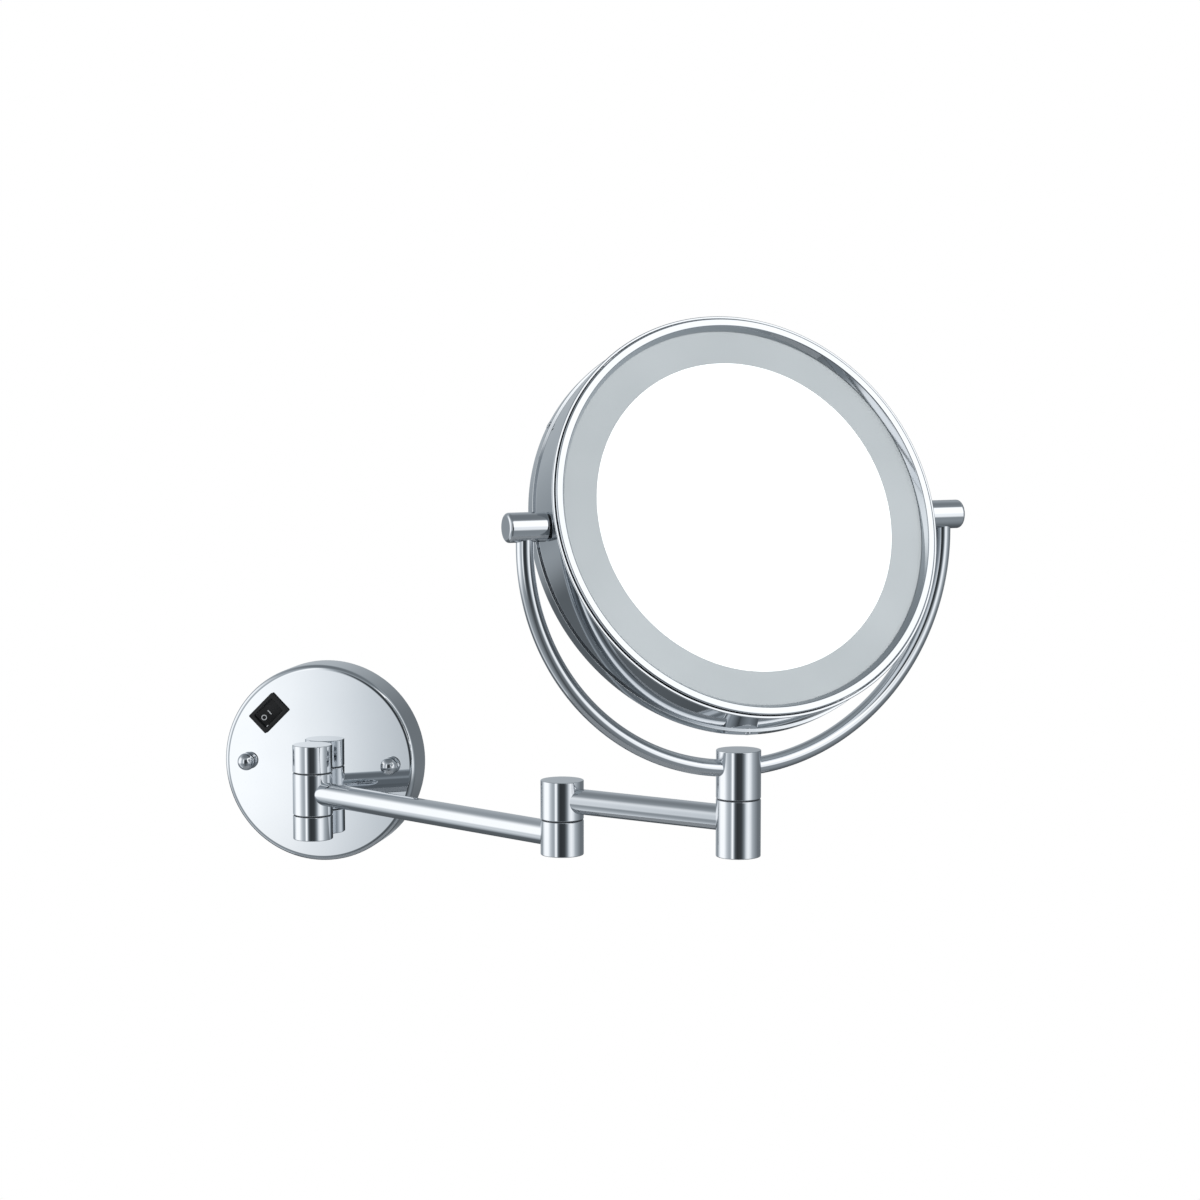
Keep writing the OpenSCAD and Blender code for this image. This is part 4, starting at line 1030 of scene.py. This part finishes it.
bowl_low, bowl_high = local_box("rear_mirror", head_frame)
BOWL_R = bowl_high.x
GLASS = clear_high.z - clear_low.z
BOWL_DEPTH = bowl_high.z - bowl_low.z - GLASS
BOWL_STEPS = 28


def bowl(r):
    return bowl_low.z + BOWL_DEPTH * (1 - (r / BOWL_R) ** 2)


bowl_rows = []
for k in range(BOWL_STEPS + 1):
    r = BOWL_R * k / BOWL_STEPS
    facing = Vector((-2 * BOWL_DEPTH * r / BOWL_R ** 2, -1)).normalized()
    bowl_rows.append((r, bowl(r), facing.x, facing.y))
bowl_rows += [(BOWL_R, bowl(BOWL_R), 1, 0), (BOWL_R, bowl(BOWL_R) + GLASS, 1, 0)]
bowl_rows += [(r, z + GLASS, -nr, -nz) for r, z, nr, nz in bowl_rows[BOWL_STEPS::-1]]
make("rear_mirror_hollow", lathe(bowl_rows, head_frame, 256), silvered, "head", "mirror_glass",
     "rear_mirror")

# %% [markdown]
# ## Lights and case screws
# Forty-eight light chips stand on the board, and three screws hold the rear bezel. Both come from
# the ring tree: only the part, the number and the radius change.

# %% Lights and screws on their rings
board_top = local_box("led_board", head_frame)[1].z
chip_high = local_box("leds", head_frame)[1]
CHIP_COUNT = 48
CHIP_X, CHIP_Y = 1.4 * MM, 1.75 * MM
CHIP_RING = math.sqrt(chip_high.x ** 2 - CHIP_Y ** 2) - CHIP_X
CHIP_BEVEL = 0.15 * MM
chip_rings = [rectangle(CHIP_X, CHIP_Y, 0.3 * MM, board_top),
              rectangle(CHIP_X, CHIP_Y, 0.3 * MM, chip_high.z - 0.4 * MM),
              rectangle(CHIP_X - CHIP_BEVEL, CHIP_Y - CHIP_BEVEL, 0.3 * MM, chip_high.z)]
chip = stack("light_chip_part", chip_rings, IN_PLACE)
lights = from_nodes("light_chips", ROUND_RING,
                    {"Part": chip, "Count": CHIP_COUNT, "Ring radius": CHIP_RING,
                     "First angle": math.pi / CHIP_COUNT, "Material": phosphor}, head_frame)
finish_piece(lights, phosphor, "head", ["leds"])

SCREW_FIRST = math.radians(147)
SCREW_Z = case_low.z - 3 * MM
PRY_Z = case_low.z + 6 * MM
SCREW_HEAD_R = 2 * MM
SCREW_SOCKET_R = 0.9 * MM
head_top = BACK_R + 0.5 * MM
screw_rows = outline((0, BACK_R - 3.5 * MM, 0), (1.6 * MM, BACK_R - 3.5 * MM, FINE_EDGE),
                     (1.6 * MM, BACK_R, FINE_EDGE), (SCREW_HEAD_R, BACK_R, 0.05 * MM),
                     (SCREW_HEAD_R, head_top, 0.2 * MM), (SCREW_SOCKET_R, head_top, 0.08 * MM),
                     (SCREW_SOCKET_R, head_top - 1 * MM, 0.08 * MM), (0, head_top - 1 * MM, 0))
screw = loose_part("case_screw_part", lathe(screw_rows, along(IN_PLACE, (1, 0, 0)), 36))
screws = from_nodes("case_screws_turned", ROUND_RING,
                    {"Part": screw, "Count": 3, "Ring radius": 0.0, "First angle": SCREW_FIRST,
                     "Material": chrome}, head_frame @ Matrix.Translation((0, 0, SCREW_Z)))
finish_piece(screws, chrome, "head", ["case_screws"])

# %% [markdown]
# A short slot beside one screw takes a blade that lifts the rear bezel off. Only its black opening
# shows, and that black is painted shade: a thin dark rounded strip laid in the wall of the drum.

# %% Pry slot
PRY_X, PRY_Y, PRY_CORNER = 0.45 * MM, 1.5 * MM, 0.4 * MM
SLOT_AT = SCREW_FIRST + math.radians(3)
slot_place = head_frame @ Matrix.Rotation(SLOT_AT, 4, "Z") @ Matrix.Translation((0, 0, PRY_Z))
slot_place = along(slot_place, (1, 0, 0))
slot = stack("pry_slot_shadow", [rectangle(PRY_X, PRY_Y, PRY_CORNER, CASE_R - 0.3 * MM),
                                 rectangle(PRY_X, PRY_Y, PRY_CORNER, CASE_R + 0.02 * MM)],
             slot_place)
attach(slot, "head")
# The strip's black finish is painted shade, standing in for the dark inside of the slot.
slot.data.materials.append(rubber_and_slot_shade)
scene.collection.objects.link(slot)
print("pry slot beside the first screw")

# %% [markdown]
# ## Finishes for what stays as CAD
# The parts inside keep their CAD shapes, which are right as they are, and get real finishes. They
# show through the open back of the canopy and in the thin joints between the hub segments.

# %% CAD nodes
KEPT = {
    zinc: "wall_bracket fixing_studs hub_nuts wall_pivot_screw elbow_pivot_screw "
          "swivel_pivot_screw rocker_pin chassis_plate tilt_studs tilt_nuts",
    brass: "switch_terminals terminal_screws",
    white_moulding: "led_driver terminal_block reflector_tray led_connector mirror_carrier",
    nylon: "wall_thrust_washers elbow_thrust_washer swivel_thrust_washer friction_washers",
    acetal: "wall_upper_bush wall_floor_bush elbow_bush swivel_bush",
    rubber_and_slot_shade: "front_gasket rear_gasket",
    solder_mask: "led_board",
    pvc: "canopy_wires wall_arm_wire front_arm_wire yoke_wire head_wire"}
for material, names in KEPT.items():
    for node in names.split():
        frame["nodes"][node].data.materials.clear()
        frame["nodes"][node].data.materials.append(material)
replaced = [name for name, node in frame["nodes"].items() if node.hide_render]
kept = sum(len(names.split()) for names in KEPT.values())
print("CAD nodes kept:", kept, "replaced:", len(replaced), "of", len(frame["nodes"]))
